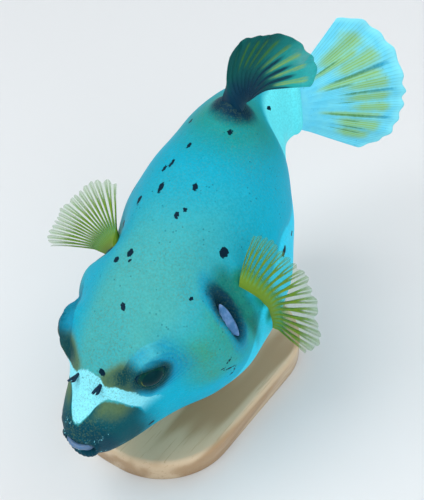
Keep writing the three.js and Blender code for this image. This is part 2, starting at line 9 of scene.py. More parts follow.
import bpy
import numpy as np
from bpy.props import FloatProperty, FloatVectorProperty, IntProperty, PointerProperty
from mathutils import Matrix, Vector


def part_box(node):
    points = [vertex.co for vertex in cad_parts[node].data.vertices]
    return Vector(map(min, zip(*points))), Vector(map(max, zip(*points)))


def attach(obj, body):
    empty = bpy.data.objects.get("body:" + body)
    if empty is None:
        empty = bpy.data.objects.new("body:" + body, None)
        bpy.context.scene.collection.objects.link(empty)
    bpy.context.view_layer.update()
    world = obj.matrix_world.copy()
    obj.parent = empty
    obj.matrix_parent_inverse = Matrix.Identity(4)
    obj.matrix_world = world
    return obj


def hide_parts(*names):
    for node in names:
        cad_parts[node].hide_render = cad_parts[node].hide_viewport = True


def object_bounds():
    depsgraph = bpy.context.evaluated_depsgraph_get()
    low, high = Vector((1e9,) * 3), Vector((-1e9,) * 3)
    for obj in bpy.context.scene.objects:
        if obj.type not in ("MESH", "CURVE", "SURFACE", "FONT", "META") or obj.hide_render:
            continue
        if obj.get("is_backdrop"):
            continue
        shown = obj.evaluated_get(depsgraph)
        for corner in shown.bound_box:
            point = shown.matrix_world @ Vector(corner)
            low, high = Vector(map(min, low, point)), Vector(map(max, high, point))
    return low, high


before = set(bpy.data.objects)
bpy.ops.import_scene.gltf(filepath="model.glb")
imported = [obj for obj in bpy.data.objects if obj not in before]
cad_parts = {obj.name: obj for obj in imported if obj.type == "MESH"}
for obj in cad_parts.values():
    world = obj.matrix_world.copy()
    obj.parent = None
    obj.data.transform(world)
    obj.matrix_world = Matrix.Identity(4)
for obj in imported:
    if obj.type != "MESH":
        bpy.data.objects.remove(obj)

bl_info = {
    "name": "Blackspotted pufferfish",
    "version": (1, 0, 0),
    "blender": (4, 5, 0),
    "location": "View3D > Sidebar > Pufferfish",
    "description": "Builds the skin, fins, eyes, mouth and stand of a pufferfish model",
    "category": "Add Mesh",
}

CAD_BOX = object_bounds()
MM = 0.001

# ---- The body's plan, as the solids have it -----------------------------------------------------

BODY_LENGTH = 0.205
NOSE_DOWN = math.radians(21)
ROLL_TO_RIGHT = math.radians(6)
MIDDLE = (0.0, 0.006, 0.082)  # where the middle of the straight body lies

# Place, half width, height of the back, depth of the belly and height of the widest line.
SECTIONS = np.array([
    [0.0, 0.046, 0.033, 0.048, 0.0],
    [0.02, 0.063, 0.053, 0.074, 0.0],
    [0.05, 0.074, 0.068, 0.094, -0.005],
    [0.09, 0.088, 0.09, 0.114, -0.01],
    [0.14, 0.104, 0.126, 0.14, -0.015],
    [0.2, 0.126, 0.161, 0.169, -0.02],
    [0.28, 0.168, 0.19, 0.198, -0.02],
    [0.38, 0.198, 0.209, 0.219, -0.02],
    [0.5, 0.202, 0.22, 0.221, -0.02],
    [0.62, 0.185, 0.213, 0.206, -0.018],
    [0.73, 0.152, 0.188, 0.172, -0.01],
    [0.82, 0.116, 0.156, 0.146, 0.0],
    [0.9, 0.084, 0.121, 0.124, -0.004],
    [0.96, 0.058, 0.099, 0.094, -0.002],
    [1.0, 0.036, 0.094, 0.072, 0.005],
])
BACK_ROUNDNESS = 2.1
BELLY_ROUNDNESS = 2.2

# Place, turn to the left, roll that lifts the left flank, and dip, in degrees.
BENDS = np.array([
    [0.0, -2, -3, 0],
    [0.3, 6, 2, 0],
    [0.5, -11, 0, 0],
    [0.75, -18, -16, 4],
    [1.0, 52, 22, 12],
])
SPINE_STEPS = 200

# Soft swellings: centre (along, out, up), reach on those axes and push (out, up).
SWELLINGS = [
    ((0.2, 0.125, 0.112), (0.067, 0.086, 0.06), (0.035, 0.0215)),  # brow
    ((0.3, 0.165, -0.03), (0.08, 0.08, 0.1), (0.012, 0.0)),  # cheek
    ((0.24, 0.13, 0.13), (0.025, 0.05, 0.06), (-0.015, -0.008)),  # hollow behind the brow
    ((0.317, 0.15, 0.1), (0.052, 0.07, 0.1), (0.03, 0.0026)),  # gill cover
    ((0.411, 0.14, 0.12), (0.11, 0.08, 0.09), (-0.0235, -0.012)),  # hollow behind the gill cover
    ((0.425, 0.2, 0.035), (0.035, 0.06, 0.055), (0.018, 0.0)),  # root of the side fin
    ((0.775, 0.0, 0.18), (0.05, 0.05, 0.06), (0.0, 0.05)),  # root of the back fin
    ((0.785, 0.0, -0.145), (0.05, 0.035, 0.05), (0.0, -0.026)),  # root of the belly fin
    ((0.89, 0.06, -0.07), (0.075, 0.05, 0.06), (0.026, -0.006)),  # lower edge of the tail stalk
]
EYE_FACING = (0.89, -0.42, 0.05)  # (left, back, up) at the eye's place
EYE_LONG = (0, 1, -0.39)  # roughly the way that its opening is long
EYE_ALONG = 0.192
EYE_BALL = 8.4 * MM
EYE_SEAT = 4.6 * MM
EYE_FLAT_TO = 8.5 * MM
EYE_FADE_TO = 16 * MM
GILL_ALONG = 0.371
GILL_ANGLE = 23.5
GILL_SLANT = math.radians(22)
NOSTRIL_ALONG = 0.11
NOSTRIL_ANGLE = 73.0


# ---- Curves and frames --------------------------------------------------------------------------

def smoothstep(x, low, high):
    """0 below low, 1 above high, and 3t^2 - 2t^3 between, with t the share of the way."""
    t = np.clip((x - low) / (high - low), 0.0, 1.0)
    return t * t * (3.0 - 2.0 * t)


def bell(x, centre, reach):
    """A bell curve: e to the minus square of the distance from the centre over the reach."""
    return np.exp(-(((x - centre) / reach) ** 2))


def unit(v):
    """Vectors at length 1."""
    return v / np.maximum(np.linalg.norm(v, axis=-1, keepdims=True), 1e-12)


def distance(points, place):
    """Distance of each point from a place."""
    return np.linalg.norm(points - place, axis=-1)


def circle(steps):
    """Angles of so many points round a circle, as one row."""
    return np.linspace(0.0, 2 * np.pi, steps, endpoint=False)[None, :]


def larger(a, b, reach):
    """The larger of two numbers, rounded where they cross: half of their sum and of the root of
    their difference squared plus the reach squared."""
    return (a + b + np.sqrt((a - b) ** 2 + reach**2)) / 2


def mirrored(angle, side):
    """An angle round the body as given for the left side (1), or carried over to the right (-1)."""
    return angle if side > 0 else 180.0 - angle


def curve_through(xs, ys):
    """A smooth curve through points that never overshoots: cubic pieces whose tangents are the
    weighted harmonic mean of the slopes on either side, and 0 where the slopes differ in sign."""
    steps = np.diff(xs)
    slopes = np.diff(ys) / steps
    before = steps[:-1] + 2 * steps[1:]
    after = steps[1:] + 2 * steps[:-1]
    tangents = np.concatenate([slopes[:1], np.zeros(len(xs) - 2), slopes[-1:]])
    same = slopes[:-1] * slopes[1:] > 0
    low, high = slopes[:-1][same], slopes[1:][same]
    tangents[1:-1][same] = (before + after)[same] / (before[same] / low + after[same] / high)

    def at(x):
        x = np.clip(x, xs[0], xs[-1])
        i = np.clip(np.searchsorted(xs, x, side="left") - 1, 0, len(steps) - 1)
        t = (x - xs[i]) / steps[i]
        rise = t * t * (3 - 2 * t)
        leave = t * (1 - t) ** 2 * steps[i] * tangents[i]
        arrive = t * t * (t - 1) * steps[i] * tangents[i + 1]
        return ys[i] + (ys[i + 1] - ys[i]) * rise + leave + arrive

    return at


SECTION_CURVES = [curve_through(SECTIONS[:, 0], SECTIONS[:, k]) for k in (1, 2, 3, 4)]
BEND_CURVES = [curve_through(BENDS[:, 0], BENDS[:, k]) for k in (1, 2, 3)]


def spine_axes(share):
    """The spine's left, back and up directions: turned, then dipped, then rolled."""
    turn, roll, dip = (np.radians(curve(share))[..., None] for curve in BEND_CURVES)
    zero = np.zeros_like(turn)
    back = np.concatenate([np.sin(turn) * np.cos(dip), np.cos(turn) * np.cos(dip), -np.sin(dip)], -1)
    flat_left = np.concatenate([np.cos(turn), -np.sin(turn), zero], -1)
    flat_up = np.cross(flat_left, back)
    left = flat_left * np.cos(roll) + flat_up * np.sin(roll)
    up = flat_up * np.cos(roll) - flat_left * np.sin(roll)
    return left, back, up


SPINE = np.zeros((SPINE_STEPS + 1, 3))
SPINE[1:] = np.cumsum(spine_axes((np.arange(SPINE_STEPS) + 0.5) / SPINE_STEPS)[1], 0) / SPINE_STEPS


def spine_frame(share):
    """The spine's centre, left, back and up; past either end it goes straight on."""
    share = np.asarray(share, float)
    inside = np.clip(share, 0.0, 1.0)
    axes = spine_axes(inside)
    steps = np.arange(SPINE_STEPS + 1) / SPINE_STEPS
    centre = np.stack([np.interp(inside, steps, SPINE[:, k]) for k in range(3)], -1)
    return (centre + axes[1] * (share - inside)[..., None], *axes)


def turned(x_angle, y_angle):
    """The matrix that turns about X and then about Y."""
    cx, sx, cy, sy = math.cos(x_angle), math.sin(x_angle), math.cos(y_angle), math.sin(y_angle)
    about_x = np.array([[1, 0, 0], [0, cx, -sx], [0, sx, cx]])
    about_y = np.array([[cy, 0, sy], [0, 1, 0], [-sy, 0, cy]])
    return about_y @ about_x


FISH_TURN = turned(NOSE_DOWN, -ROLL_TO_RIGHT)
FISH_SHIFT = np.array(MIDDLE) - FISH_TURN @ np.array([0.0, 0.5 * BODY_LENGTH, 0.0])


def placed(points):
    """Points of the level, straight-ahead fish, in the solids' frame."""
    return points @ FISH_TURN.T + FISH_SHIFT


def body_point(along, out, up):
    """The place of a point given along the body, out to the left and up, in shares of its length."""
    centre, left, _, rise = spine_frame(along)
    point = centre + left * np.asarray(out)[..., None] + rise * np.asarray(up)[..., None]
    return placed(BODY_LENGTH * point)


def body_direction(along, parts):
    """The direction given as (left, back, up) parts in the frame at a place on the body."""
    _, left, back, up = spine_frame(along)
    parts = np.asarray(parts, float)
    way = left * parts[..., :1] + back * parts[..., 1:2] + up * parts[..., 2:]
    return unit(way) @ FISH_TURN.T


def flesh_outline(share, angle):
    """(out, up) of a cross-section: two half superellipses, pushed out where the swellings reach."""
    half, back, belly, widest = (curve(np.minimum(share, 1.0)) for curve in SECTION_CURVES)
    across, rise = np.cos(np.radians(angle)), np.sin(np.radians(angle))
    power = 2 / np.where(rise >= 0, BACK_ROUNDNESS, BELLY_ROUNDNESS)
    reach = np.where(rise >= 0, back - widest, belly + widest)
    plain_out = half * np.sign(across) * np.abs(across) ** power
    plain_up = widest + reach * np.sign(rise) * np.abs(rise) ** power
    out, up = plain_out.copy(), plain_up.copy()
    for at, size, push in SWELLINGS:
        for side in ((1,) if at[1] == 0 else (1, -1)):
            swell = bell(share, at[0], size[0]) * bell(plain_out, side * at[1], size[1])
            swell = swell * bell(plain_up, at[2], size[2])
            out = out + side * push[0] * swell
            up = up + push[1] * swell
    return out, up


def box_of(node):
    """The low and high corners of a solid's box, and its middle."""
    low, high = (np.array(corner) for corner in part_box(node))
    return low, high, (low + high) / 2


def eye_frames():
    """Each eye's side, centre and facing, and the directions along and across its opening."""
    frames = []
    for word, side in (("left", 1), ("right", -1)):
        left, back, up = EYE_FACING
        facing = body_direction(EYE_ALONG, (side * left, back, up))
        rough = body_direction(EYE_ALONG, EYE_LONG)
        long = unit(rough - facing * (rough @ facing))
        across = np.cross(facing, long) * side
        frames.append((word, side, box_of("eye_" + word)[2], facing, long, across))
    return frames


EYES = eye_frames()


def seat_eyes(points):
    """Round each eye the flesh is drawn to a flat seat, which fades out at the brow's edge."""
    for _, _, centre, facing, _, _ in EYES:
        offset = points - centre
        height = offset @ facing
        aside = np.linalg.norm(offset - height[..., None] * facing, axis=-1)
        pull = (1 - smoothstep(aside, EYE_FLAT_TO, EYE_FADE_TO)) * (height > 0)
        points = points + facing * (pull * (EYE_SEAT - height))[..., None]
    return points


def flesh(share, angle):
    """Points of the bare flesh."""
    share, angle = np.broadcast_arrays(np.asarray(share, float), np.asarray(angle, float))
    return seat_eyes(body_point(share, *flesh_outline(share, angle)))


# ---- Sizes and colours that a user may change ---------------------------------------------------

def colour(name, description, red, green, blue):
    """A colour setting whose default is given as it looks on a screen, from 0 to 255."""
    shares = [value / 255 for value in (red, green, blue)]
    linear = [((share + 0.055) / 1.055) ** 2.4 if share > 0.04 else share / 12.92 for share in shares]
    return FloatVectorProperty(name=name, description=description, subtype="COLOR", size=3, min=0, max=1,
                               default=linear)


def length(name, description, millimetres):
    """A length setting in metres, with its default in millimetres."""
    return FloatProperty(name=name, description=description, default=millimetres * MM, min=0, precision=5,
                         unit="LENGTH", subtype="DISTANCE")


def direction(name, description, degrees):
    """An angle setting, with its default in degrees."""
    return FloatProperty(name=name, description=description, default=math.radians(degrees),
                         subtype="ANGLE", unit="ROTATION")


def number(name, description, default):
    """A plain setting."""
    return FloatProperty(name=name, description=description, default=default, min=0)


def count(name, description, default):
    """A whole number of rows, columns or steps."""
    return IntProperty(name=name, description=description, default=default, min=2)


class PufferSkinSizes(bpy.types.PropertyGroup):
    """Sizes of the skin and its folds."""
    rows: count("Rows", "Rings of the skin from snout to tail root", 186)
    columns: count("Columns", "Points round each ring of the skin", 416)
    lip_rows: count("Lip rows", "Rings of the lips and the mouth's lining", 34)
    tail_rows: count("Tail rows", "Rings of the rounded tail root", 8)
    opening_length: length("Eye opening length", "Opening between the lids, along the head", 14.8)
    opening_height: length("Eye opening height", "Opening between the lids, across the head", 10.4)
    lid_thickness: length("Lid thickness", "How far a lid stands over the eyeball", 0.5)
    wrinkle_height: length("Wrinkle height", "Height of the ring wrinkles round the eyes", 0.13)
    wrinkle_spacing: length("Wrinkle spacing", "Distance from one ring wrinkle to the next", 1.5)
    gill_length: length("Gill slit length", "Length of a gill slit", 23)
    gill_width: length("Gill slit width", "Width of a gill slit", 8.6)
    gill_depth: length("Gill slit depth", "Depth of a gill slit", 4.2)
    lip_fold: length("Lip folds", "Depth of the fine folds across the lips", 0.12)


class PufferFinSizes(bpy.types.PropertyGroup):
    """Sizes of the fins."""
    steps_between: count("Steps between rays", "Points from one fin ray to the next", 16)
    steps_along: count("Steps along rays", "Points along a fin ray", 64)
    membrane: length("Membrane thickness", "Thickness between the rays", 0.34)
    ray_height: length("Ray height", "How far a ray stands proud of the membrane on each side", 0.42)
    branching: number("Branching", "How far a ray's branches spread, as a share of the gap between rays", 0.2)
    wave: length("Wave", "How far the fins' edges wave from side to side", 1.3)
    scallop: number("Scallop", "How far the edge draws in between rays, as a share of their length", 0.035)


class PufferStandSizes(bpy.types.PropertyGroup):
    """Sizes of the display stand, past what the solids give."""
    corner: length("Corner radius", "Radius of the base's corners", 36)
    edge: length("Edge radius", "Radius of the base's rounded upper edge", 2.6)
    collar: length("Collar radius", "Radius of the collar at the foot of a rod", 5.2)
    collar_height: length("Collar height", "Height of that collar", 1.6)


class PufferColours(bpy.types.PropertyGroup):
    """Colours of the fish and its stand."""
    back: colour("Back", "Skin of the back", 16, 168, 196)
    flank: colour("Flank", "Skin of the flanks", 6, 180, 212)
    belly: colour("Belly", "Skin of the belly", 50, 216, 250)
    crown: colour("Crown", "Skin of the nape and between the eyes", 76, 174, 172)
    band: colour("Band", "Pale band across the snout", 140, 236, 252)
    olive: colour("Olive", "Olive tint of head and tail root", 36, 142, 116)
    brown: colour("Brown", "Brown rims of the dark patches", 94, 122, 82)
    dark: colour("Dark", "Dark patches round the eyes", 2, 66, 74)
    navy: colour("Navy", "Near-black snout, slits and fin roots", 0, 50, 74)
    spot: colour("Spot", "Dark spots", 2, 34, 52)
    ray: colour("Ray", "Rays of the side fins", 122, 150, 30)
    ray_green: colour("Green ray", "Greener parts of those rays", 98, 142, 52)
    web: colour("Web", "Membrane of the side fins", 100, 172, 106)
    tail: colour("Tail", "Pale ground of the tail fin", 124, 226, 248)
    tail_blue: colour("Tail clouds", "Bluer clouds on the tail fin", 92, 212, 250)
    tail_olive: colour("Tail lines", "Olive lines on the tail fin", 72, 132, 62)
    streak: colour("Streak", "Yellow streaks of the fins", 150, 198, 100)
    fin_dark: colour("Dark fin", "Ground of the back and belly fins", 6, 86, 84)
    fin_blue: colour("Blue fin", "Those fins' ground toward the last rays", 36, 184, 180)
    fin_olive: colour("Olive fin", "Olive streaks of those fins", 66, 118, 36)
    iris: colour("Iris", "Iris", 4, 58, 54)
    gold: colour("Gold", "Gold ring round the pupil", 110, 122, 34)
    pupil: colour("Pupil", "Pupil", 0, 44, 50)
    tooth: colour("Tooth", "Beak", 94, 124, 158)
    gill: colour("Gill", "Fleshy flap in a gill slit", 66, 118, 168)
    gill_pale: colour("Gill highlight", "Paler clouds on that flap", 112, 150, 202)
    wood: colour("Wood", "Base", 214, 190, 156)
    wood_dark: colour("Wood grain", "Grain of the base", 178, 146, 108)
    steel: colour("Steel", "Rods", 190, 192, 196)
    stalk: colour("Tail stalk", "Skin of the tail stalk's sides", 112, 244, 255)
    cheek: colour("Cheek", "Skin of the cheeks", 62, 162, 132)
    shade: colour("Eye shade", "Blue shade round the eyes and gill slits", 8, 150, 190)
    # Also laid as painted shade round the right eye, and mixed with olive in the hollow behind each gill
    # slit.
    muzzle: colour("Snout", "Dark skin of the snout", 3, 82, 94)
    floor: colour("Floor", "Studio floor", 226, 228, 229)


class PufferStage(bpy.types.PropertyGroup):
    """The camera and the lights."""
    azimuth: direction("Azimuth", "Camera's direction round the fish from its front", 34.4)
    elevation: direction("Elevation", "Camera's angle above the horizon", 42.7)
    distance: length("Distance", "From the camera to what it looks at", 540)
    lens: FloatProperty(name="Lens", description="Focal length for a picture 24 mm high", default=55.9,
                        unit="CAMERA")
    key: number("Key light", "Watts of the main light", 8.4)
    fill: number("Fill light", "Watts of the wide light opposite", 5.0)
    rim: number("Rim light", "Watts of the light behind", 3.0)
    sky: number("Sky", "Strength of the even light all round", 0.62)


SETTINGS = {
    "puffer_skin": PufferSkinSizes,
    "puffer_fins": PufferFinSizes,
    "puffer_stand": PufferStandSizes,
    "puffer_colours": PufferColours,
    "puffer_stage": PufferStage,
}


# ---- Markings -----------------------------------------------------------------------------------

# Dark spots: place along, angle, length, width (mm) and slant (degrees from the body's length).
SPOTS = [
    (0.744, 125, 4.2, 2.2, 10), (0.654, 105, 4.8, 1.8, 8), (0.602, 106, 4.6, 2.0, 10),
    (0.588, 109, 4.0, 2.0, 14), (0.536, 100.5, 6.2, 2.5, 12), (0.508, 114, 5.4, 2.8, 10),
    (0.548, 81, 4.6, 2.4, 20), (0.49, 79, 2.6, 1.8, 40), (0.474, 82, 3.6, 2.2, 30),
    (0.366, 98, 4.0, 3.2, 20), (0.342, 106, 3.2, 3.2, 0), (0.350, 95, 1.9, 1.6, 0),
    (0.452, 44.5, 5.0, 4.5, 30), (0.702, 84, 2.9, 2.4, 0), (0.912, 40, 4.0, 2.3, -20),
    (0.596, 3, 4.2, 2.2, 0), (0.536, 7, 7.2, 2.6, 0), (0.260, 82, 3.7, 2.3, 40),
    (0.350, 50, 1.9, 1.7, 0), (0.132, 76, 3.6, 2.6, 60), (0.228, -38, 4.6, 2.4, 0),
    (0.124, -18, 3.0, 2.4, 0), (0.524, 105, 1.3, 1.1, 0), (0.648, 60, 1.2, 0.9, 0),
    # A broken scribble below the cheek.
    (0.314, 6, 4.6, 1.1, 30), (0.306, 0, 5.0, 1.2, -25), (0.318, -4, 4.0, 1.1, 60),
    (0.298, 3, 3.0, 1.0, 10), (0.308, -8, 3.6, 1.0, 20),
    # The right flank, which is free to differ.
    (0.470, 136, 4.6, 3.4, 10), (0.575, 142, 5.2, 2.4, 5), (0.655, 150, 3.8, 2.6, 0),
    (0.320, 150, 3.6, 3.0, 0), (0.520, 168, 4.4, 3.0, 15), (0.620, 178, 5.6, 2.2, 0),
    (0.780, 160, 3.2, 2.2, 0), (0.860, 140, 2.6, 1.8, 0), (0.290, 182, 4.2, 2.6, 20),
    (0.400, 205, 3.4, 2.6, 0), (0.560, -32, 4.2, 2.8, 10), (0.450, -48, 3.2, 2.6, 0),
    (0.660, -20, 3.0, 2.0, 0), (0.380, -75, 3.0, 2.4, 0), (0.720, 208, 2.8, 2.2, 0),
]

# Edges in the head's pattern, as place along against degrees off the back's middle line.
BAND_REAR = curve_through(np.array([0.0, 12, 22, 47, 70, 80, 180]),
                          np.array([0.124, 0.121, 0.113, 0.133, 0.15, 0.175, 0.2]))
BAND_FRONT = curve_through(np.array([0.0, 7, 13, 18, 21, 25, 32, 47, 61, 76, 100, 128, 155, 180]),
                           np.array([0.024, 0.028, 0.04, 0.054, 0.068, 0.08, 0.093, 0.104, 0.113, 0.126,
                                     0.125, 0.105, 0.07, 0.055]))
# The upper edge of the pale belly, as an angle against place along.
BELLY_EDGE = curve_through(np.array([0.0, 0.2, 0.3, 0.346, 0.38, 0.43, 0.5, 0.56, 0.62, 0.72, 0.85, 1.0]),
                           np.array([-60.0, -45, -26, -12, -1, 11, 11, 14, 9, 8, 25, 40]))


def off_back(angle):
    """Degrees off the back's middle line, from 0 on the back to 180 under the belly."""
    turn = (angle - 90.0) % 360.0
    return np.minimum(turn, 360.0 - turn)


def surface_frame(along, angle):
    """A place on the flesh with its outward, tailward and round directions, from the steps between
    the flesh's points on either side of it."""
    here = flesh(along, angle)
    tail = unit(flesh(along + 0.004, angle) - flesh(along - 0.004, angle))
    round_ = unit(flesh(along, angle + 2.0) - flesh(along, angle - 2.0))
    out = unit(np.cross(tail, round_))
    return here, out, tail, np.cross(out, tail)


def oval_gap(points, centre, first, second, halves):
    """Distance in from (below 0) or out from an oval's edge: its scaled radius less 1, times the
    smaller half width."""
    offset = points - centre
    a, b = offset @ first / halves[0], offset @ second / halves[1]
    return (np.sqrt(a * a + b * b) - 1.0) * min(halves)


SPOT_NEAR = 14 * MM  # farther from a spot's middle than this, a point is not measured from it


def spot_gap(points):
    """Distance to the nearest dark spot's edge, in mm, held between -3 and 6."""
    gap = np.full(points.shape[:-1], 6.0)
    for along, angle, long, wide, slant in SPOTS:
        here, _, tail, round_ = surface_frame(along, angle)
        c, s = math.cos(math.radians(slant)), math.sin(math.radians(slant))
        first, second = tail * c + round_ * s, round_ * c - tail * s
        halves = (long / 2 * MM, wide / 2 * MM)
        near = distance(points, here) < SPOT_NEAR
        gap[near] = np.minimum(gap[near], oval_gap(points[near], here, first, second, halves) / MM)
    return np.clip(gap, -3.0, 6.0)


def gill_frame(side):
    """A gill slit's middle, and the directions up it, which leans by the slant, out of the flesh
    and forward."""
    here, out, _, _ = surface_frame(GILL_ALONG, mirrored(GILL_ANGLE, side))
    rough = body_direction(GILL_ALONG, (0, math.sin(GILL_SLANT), 1))
    forward = unit(np.cross(out, rough)) * side
    return here, np.cross(forward, out) * side, out, forward


# ---- Meshes -------------------------------------------------------------------------------------

def spread(low, high, steps, crowds):
    """Rising values, closer together where a crowd (centre, reach, amount) lies: equal steps of the
    running total of a density, which is 1 plus the amount times a bell for each crowd."""
    fine = np.linspace(low, high, 4001)
    density = 1 + sum(amount * bell(fine, centre, reach) for centre, reach, amount in crowds)
    total = np.concatenate([[0.0], np.cumsum((density[1:] + density[:-1]) / 2)])
    return np.interp(np.linspace(0.0, total[-1], steps), total, fine)


def add_mesh(name, points, quads, fields=None, triangles=None):
    """A smooth object at the origin from points and faces, with a number at each point per field.
    Faces are turned over if the volume they enclose comes out below 0."""
    a, b, c, d = (points[quads[:, k]] for k in range(4))
    if np.einsum("ij,ij->", np.cross(c - a, d - b), a + b + c + d) < 0:
        quads = quads[:, ::-1]
        triangles = None if triangles is None else triangles[:, ::-1]
    mesh = bpy.data.meshes.new(name)
    loops = [quads.ravel()] + ([triangles.ravel()] if triangles is not None else [])
    totals = np.concatenate([np.full(len(quads), 4), np.full(0 if triangles is None else len(triangles), 3)])
    loops = np.concatenate(loops)
    mesh.vertices.add(len(points))
    mesh.vertices.foreach_set("co", points.astype(np.float32).ravel())
    mesh.loops.add(len(loops))
    mesh.loops.foreach_set("vertex_index", loops.astype(np.int32))
    mesh.polygons.add(len(totals))
    mesh.polygons.foreach_set("loop_start", (np.cumsum(totals) - totals).astype(np.int32))
    mesh.update(calc_edges=True)
    mesh.validate()
    mesh.polygons.foreach_set("use_smooth", np.ones(len(mesh.polygons), bool))
    for field, values in (fields or {}).items():
        layer = mesh.attributes.new(field, "FLOAT", "POINT")
        layer.data.foreach_set("value", np.asarray(values, np.float32).ravel())
    piece = bpy.data.objects.new(name, mesh)
    bpy.context.scene.collection.objects.link(piece)
    return piece


def ring_faces(rows, columns):
    """Four-sided faces between rings of points, each ring closed on itself."""
    i, j = np.meshgrid(np.arange(rows - 1), np.arange(columns), indexing="ij")
    a, b = i * columns + j, i * columns + (j + 1) % columns
    return np.stack([a, b, b + columns, a + columns], -1).reshape(-1, 4)


def closed_tube(name, rings, fields=None):
    """A closed piece from rings of points whose first and last are closed by a fan to their middle."""
    rows, columns = rings.shape[:2]
    points = np.concatenate([rings.reshape(-1, 3), rings[0].mean(0)[None], rings[-1].mean(0)[None]])
    first, last = rows * columns, rows * columns + 1
    j = np.arange(columns)
    after = (j + 1) % columns
    end = (rows - 1) * columns
    caps = np.concatenate([
        np.stack([after, j, np.full(columns, first)], -1),
        np.stack([end + j, end + after, np.full(columns, last)], -1),
    ])
    quads = ring_faces(rows, columns)
    widened = {}
    for field, values in (fields or {}).items():
        values = np.broadcast_to(values, (rows, columns))
        widened[field] = np.concatenate([values.ravel(), [values[0].mean(), values[-1].mean()]])
    return add_mesh(name, points, quads, widened, caps)


def plate(name, centre, half, fields=None):
    """A closed thin piece round a grid of points, which lies half (a step) off it on either side."""
    rows, columns = centre.shape[:2]
    size = rows * columns
    index = np.arange(size).reshape(rows, columns)
    face = np.stack([index[:-1, :-1], index[1:, :-1], index[1:, 1:], index[:-1, 1:]], -1).reshape(-1, 4)
    rim = np.concatenate([index[0, :-1], index[:-1, -1], index[-1, :0:-1], index[:0:-1, 0]])
    after = np.roll(rim, -1)
    edge = np.stack([rim, after, after + size, rim + size], -1)
    quads = np.concatenate([face, face[:, ::-1] + size, edge])
    points = np.concatenate([(centre - half).reshape(-1, 3), (centre + half).reshape(-1, 3)])
    doubled = {field: np.tile(values.ravel(), 2) for field, values in (fields or {}).items()}
    return add_mesh(name, points, quads, doubled)


def finish_piece(piece, material, slot, *nodes):
    """Gives a piece its material and its place on the still body, and hides the solids that it stands for."""
    piece.data.materials.append(material)
    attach(piece, "root")
    if nodes:
        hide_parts(*nodes)
    return piece


# ---- Skin ---------------------------------------------------------------------------------------

MOUTH_DROP = 1.4 * MM
# The lips, from the mouth's back wall out to the snout's first ring: share of the way, share of
# the snout ring's own shape, half width, half height and reach forward (mm).
LIPS = np.array([
    [0.0, 0.0, 0.1, 0.1, -6.4],
    [0.14, 0.0, 5.4, 2.2, -6.2],
    [0.28, 0.0, 7.0, 3.0, -4.4],
    [0.4, 0.0, 7.3, 2.9, -1.6],
    [0.5, 0.02, 7.4, 2.8, 0.4],
    [0.6, 0.14, 7.7, 3.4, 1.8],
    [0.7, 0.38, 8.1, 4.3, 2.4],
    [0.8, 0.68, 8.4, 4.9, 2.1],
    [0.9, 0.9, 8.6, 5.2, 1.2],
    [1.0, 1.0, 8.8, 5.4, 0.0],
])
MOUTH_SWEEP = 3.0 * MM  # how far the corners of the mouth lie behind its middle
MOUTH_SWEPT_TO = 0.08
LIP_FOLDS = 26
LOWER_JUT = 0.2  # mm that the lower lip stands forward
UPPER_JUT = -2.4
LID_TUCK = 0.9 * MM  # how far the skin inside the eye's opening lies under the ball
LID_EDGE = (-0.45 * MM, 0.3 * MM)  # from where to where, out of the opening, it rises to the lid
LID_FADED = 1.15  # the lid has gone so many eyeballs' radii from the eye's axis
WRINKLED = (0.8 * MM, 2.0 * MM, 5.5 * MM, 11 * MM)  # wrinkles start, are full, lessen and end
GILL_LIP = 0.7 * MM
GILL_NEAR = 22 * MM  # past here a slit doesn't shape the skin, and past the next doesn't colour it
GILL_COLOURS = 30 * MM
CREASE = 0.55 * MM  # depth of the crease along the pale belly's edge
FURROW = 0.3 * MM  # depth of the furrow round the lips
MM_PER_DEGREE = 0.6  # round the flanks
UNEVEN_WAVES = 9  # waves of the gentle unevenness
UNEVEN_LENGTHS = (22 * MM, 48 * MM)  # shortest and longest
UNEVEN_HEIGHT = 0.12 * MM
TAIL_END = 0.024  # how far the rounded end stands past the tail root
TAIL_NARROWED = 0.34
# Where the grid's rows and columns lie closer: centre, reach and amount.
ROW_CROWDS = [(0.185, 0.05, 1.3), (0.0, 0.025, 1.0), (0.378, 0.04, 0.9)]
COLUMN_CROWDS = [(31.0, 17.0, 1.1), (149.0, 17.0, 1.1)]


def eye_gap(points, centre, facing, long, across, sizes):
    """Distance out from the edge of an eye's oval opening, below 0 inside it, with the distance
    from the eye's axis and the height along it."""
    offset = points - centre
    halves = (sizes.opening_length / 2, sizes.opening_height / 2)
    gap = oval_gap(points, centre, long, across, halves)
    return gap, np.hypot(offset @ long, offset @ across), offset @ facing


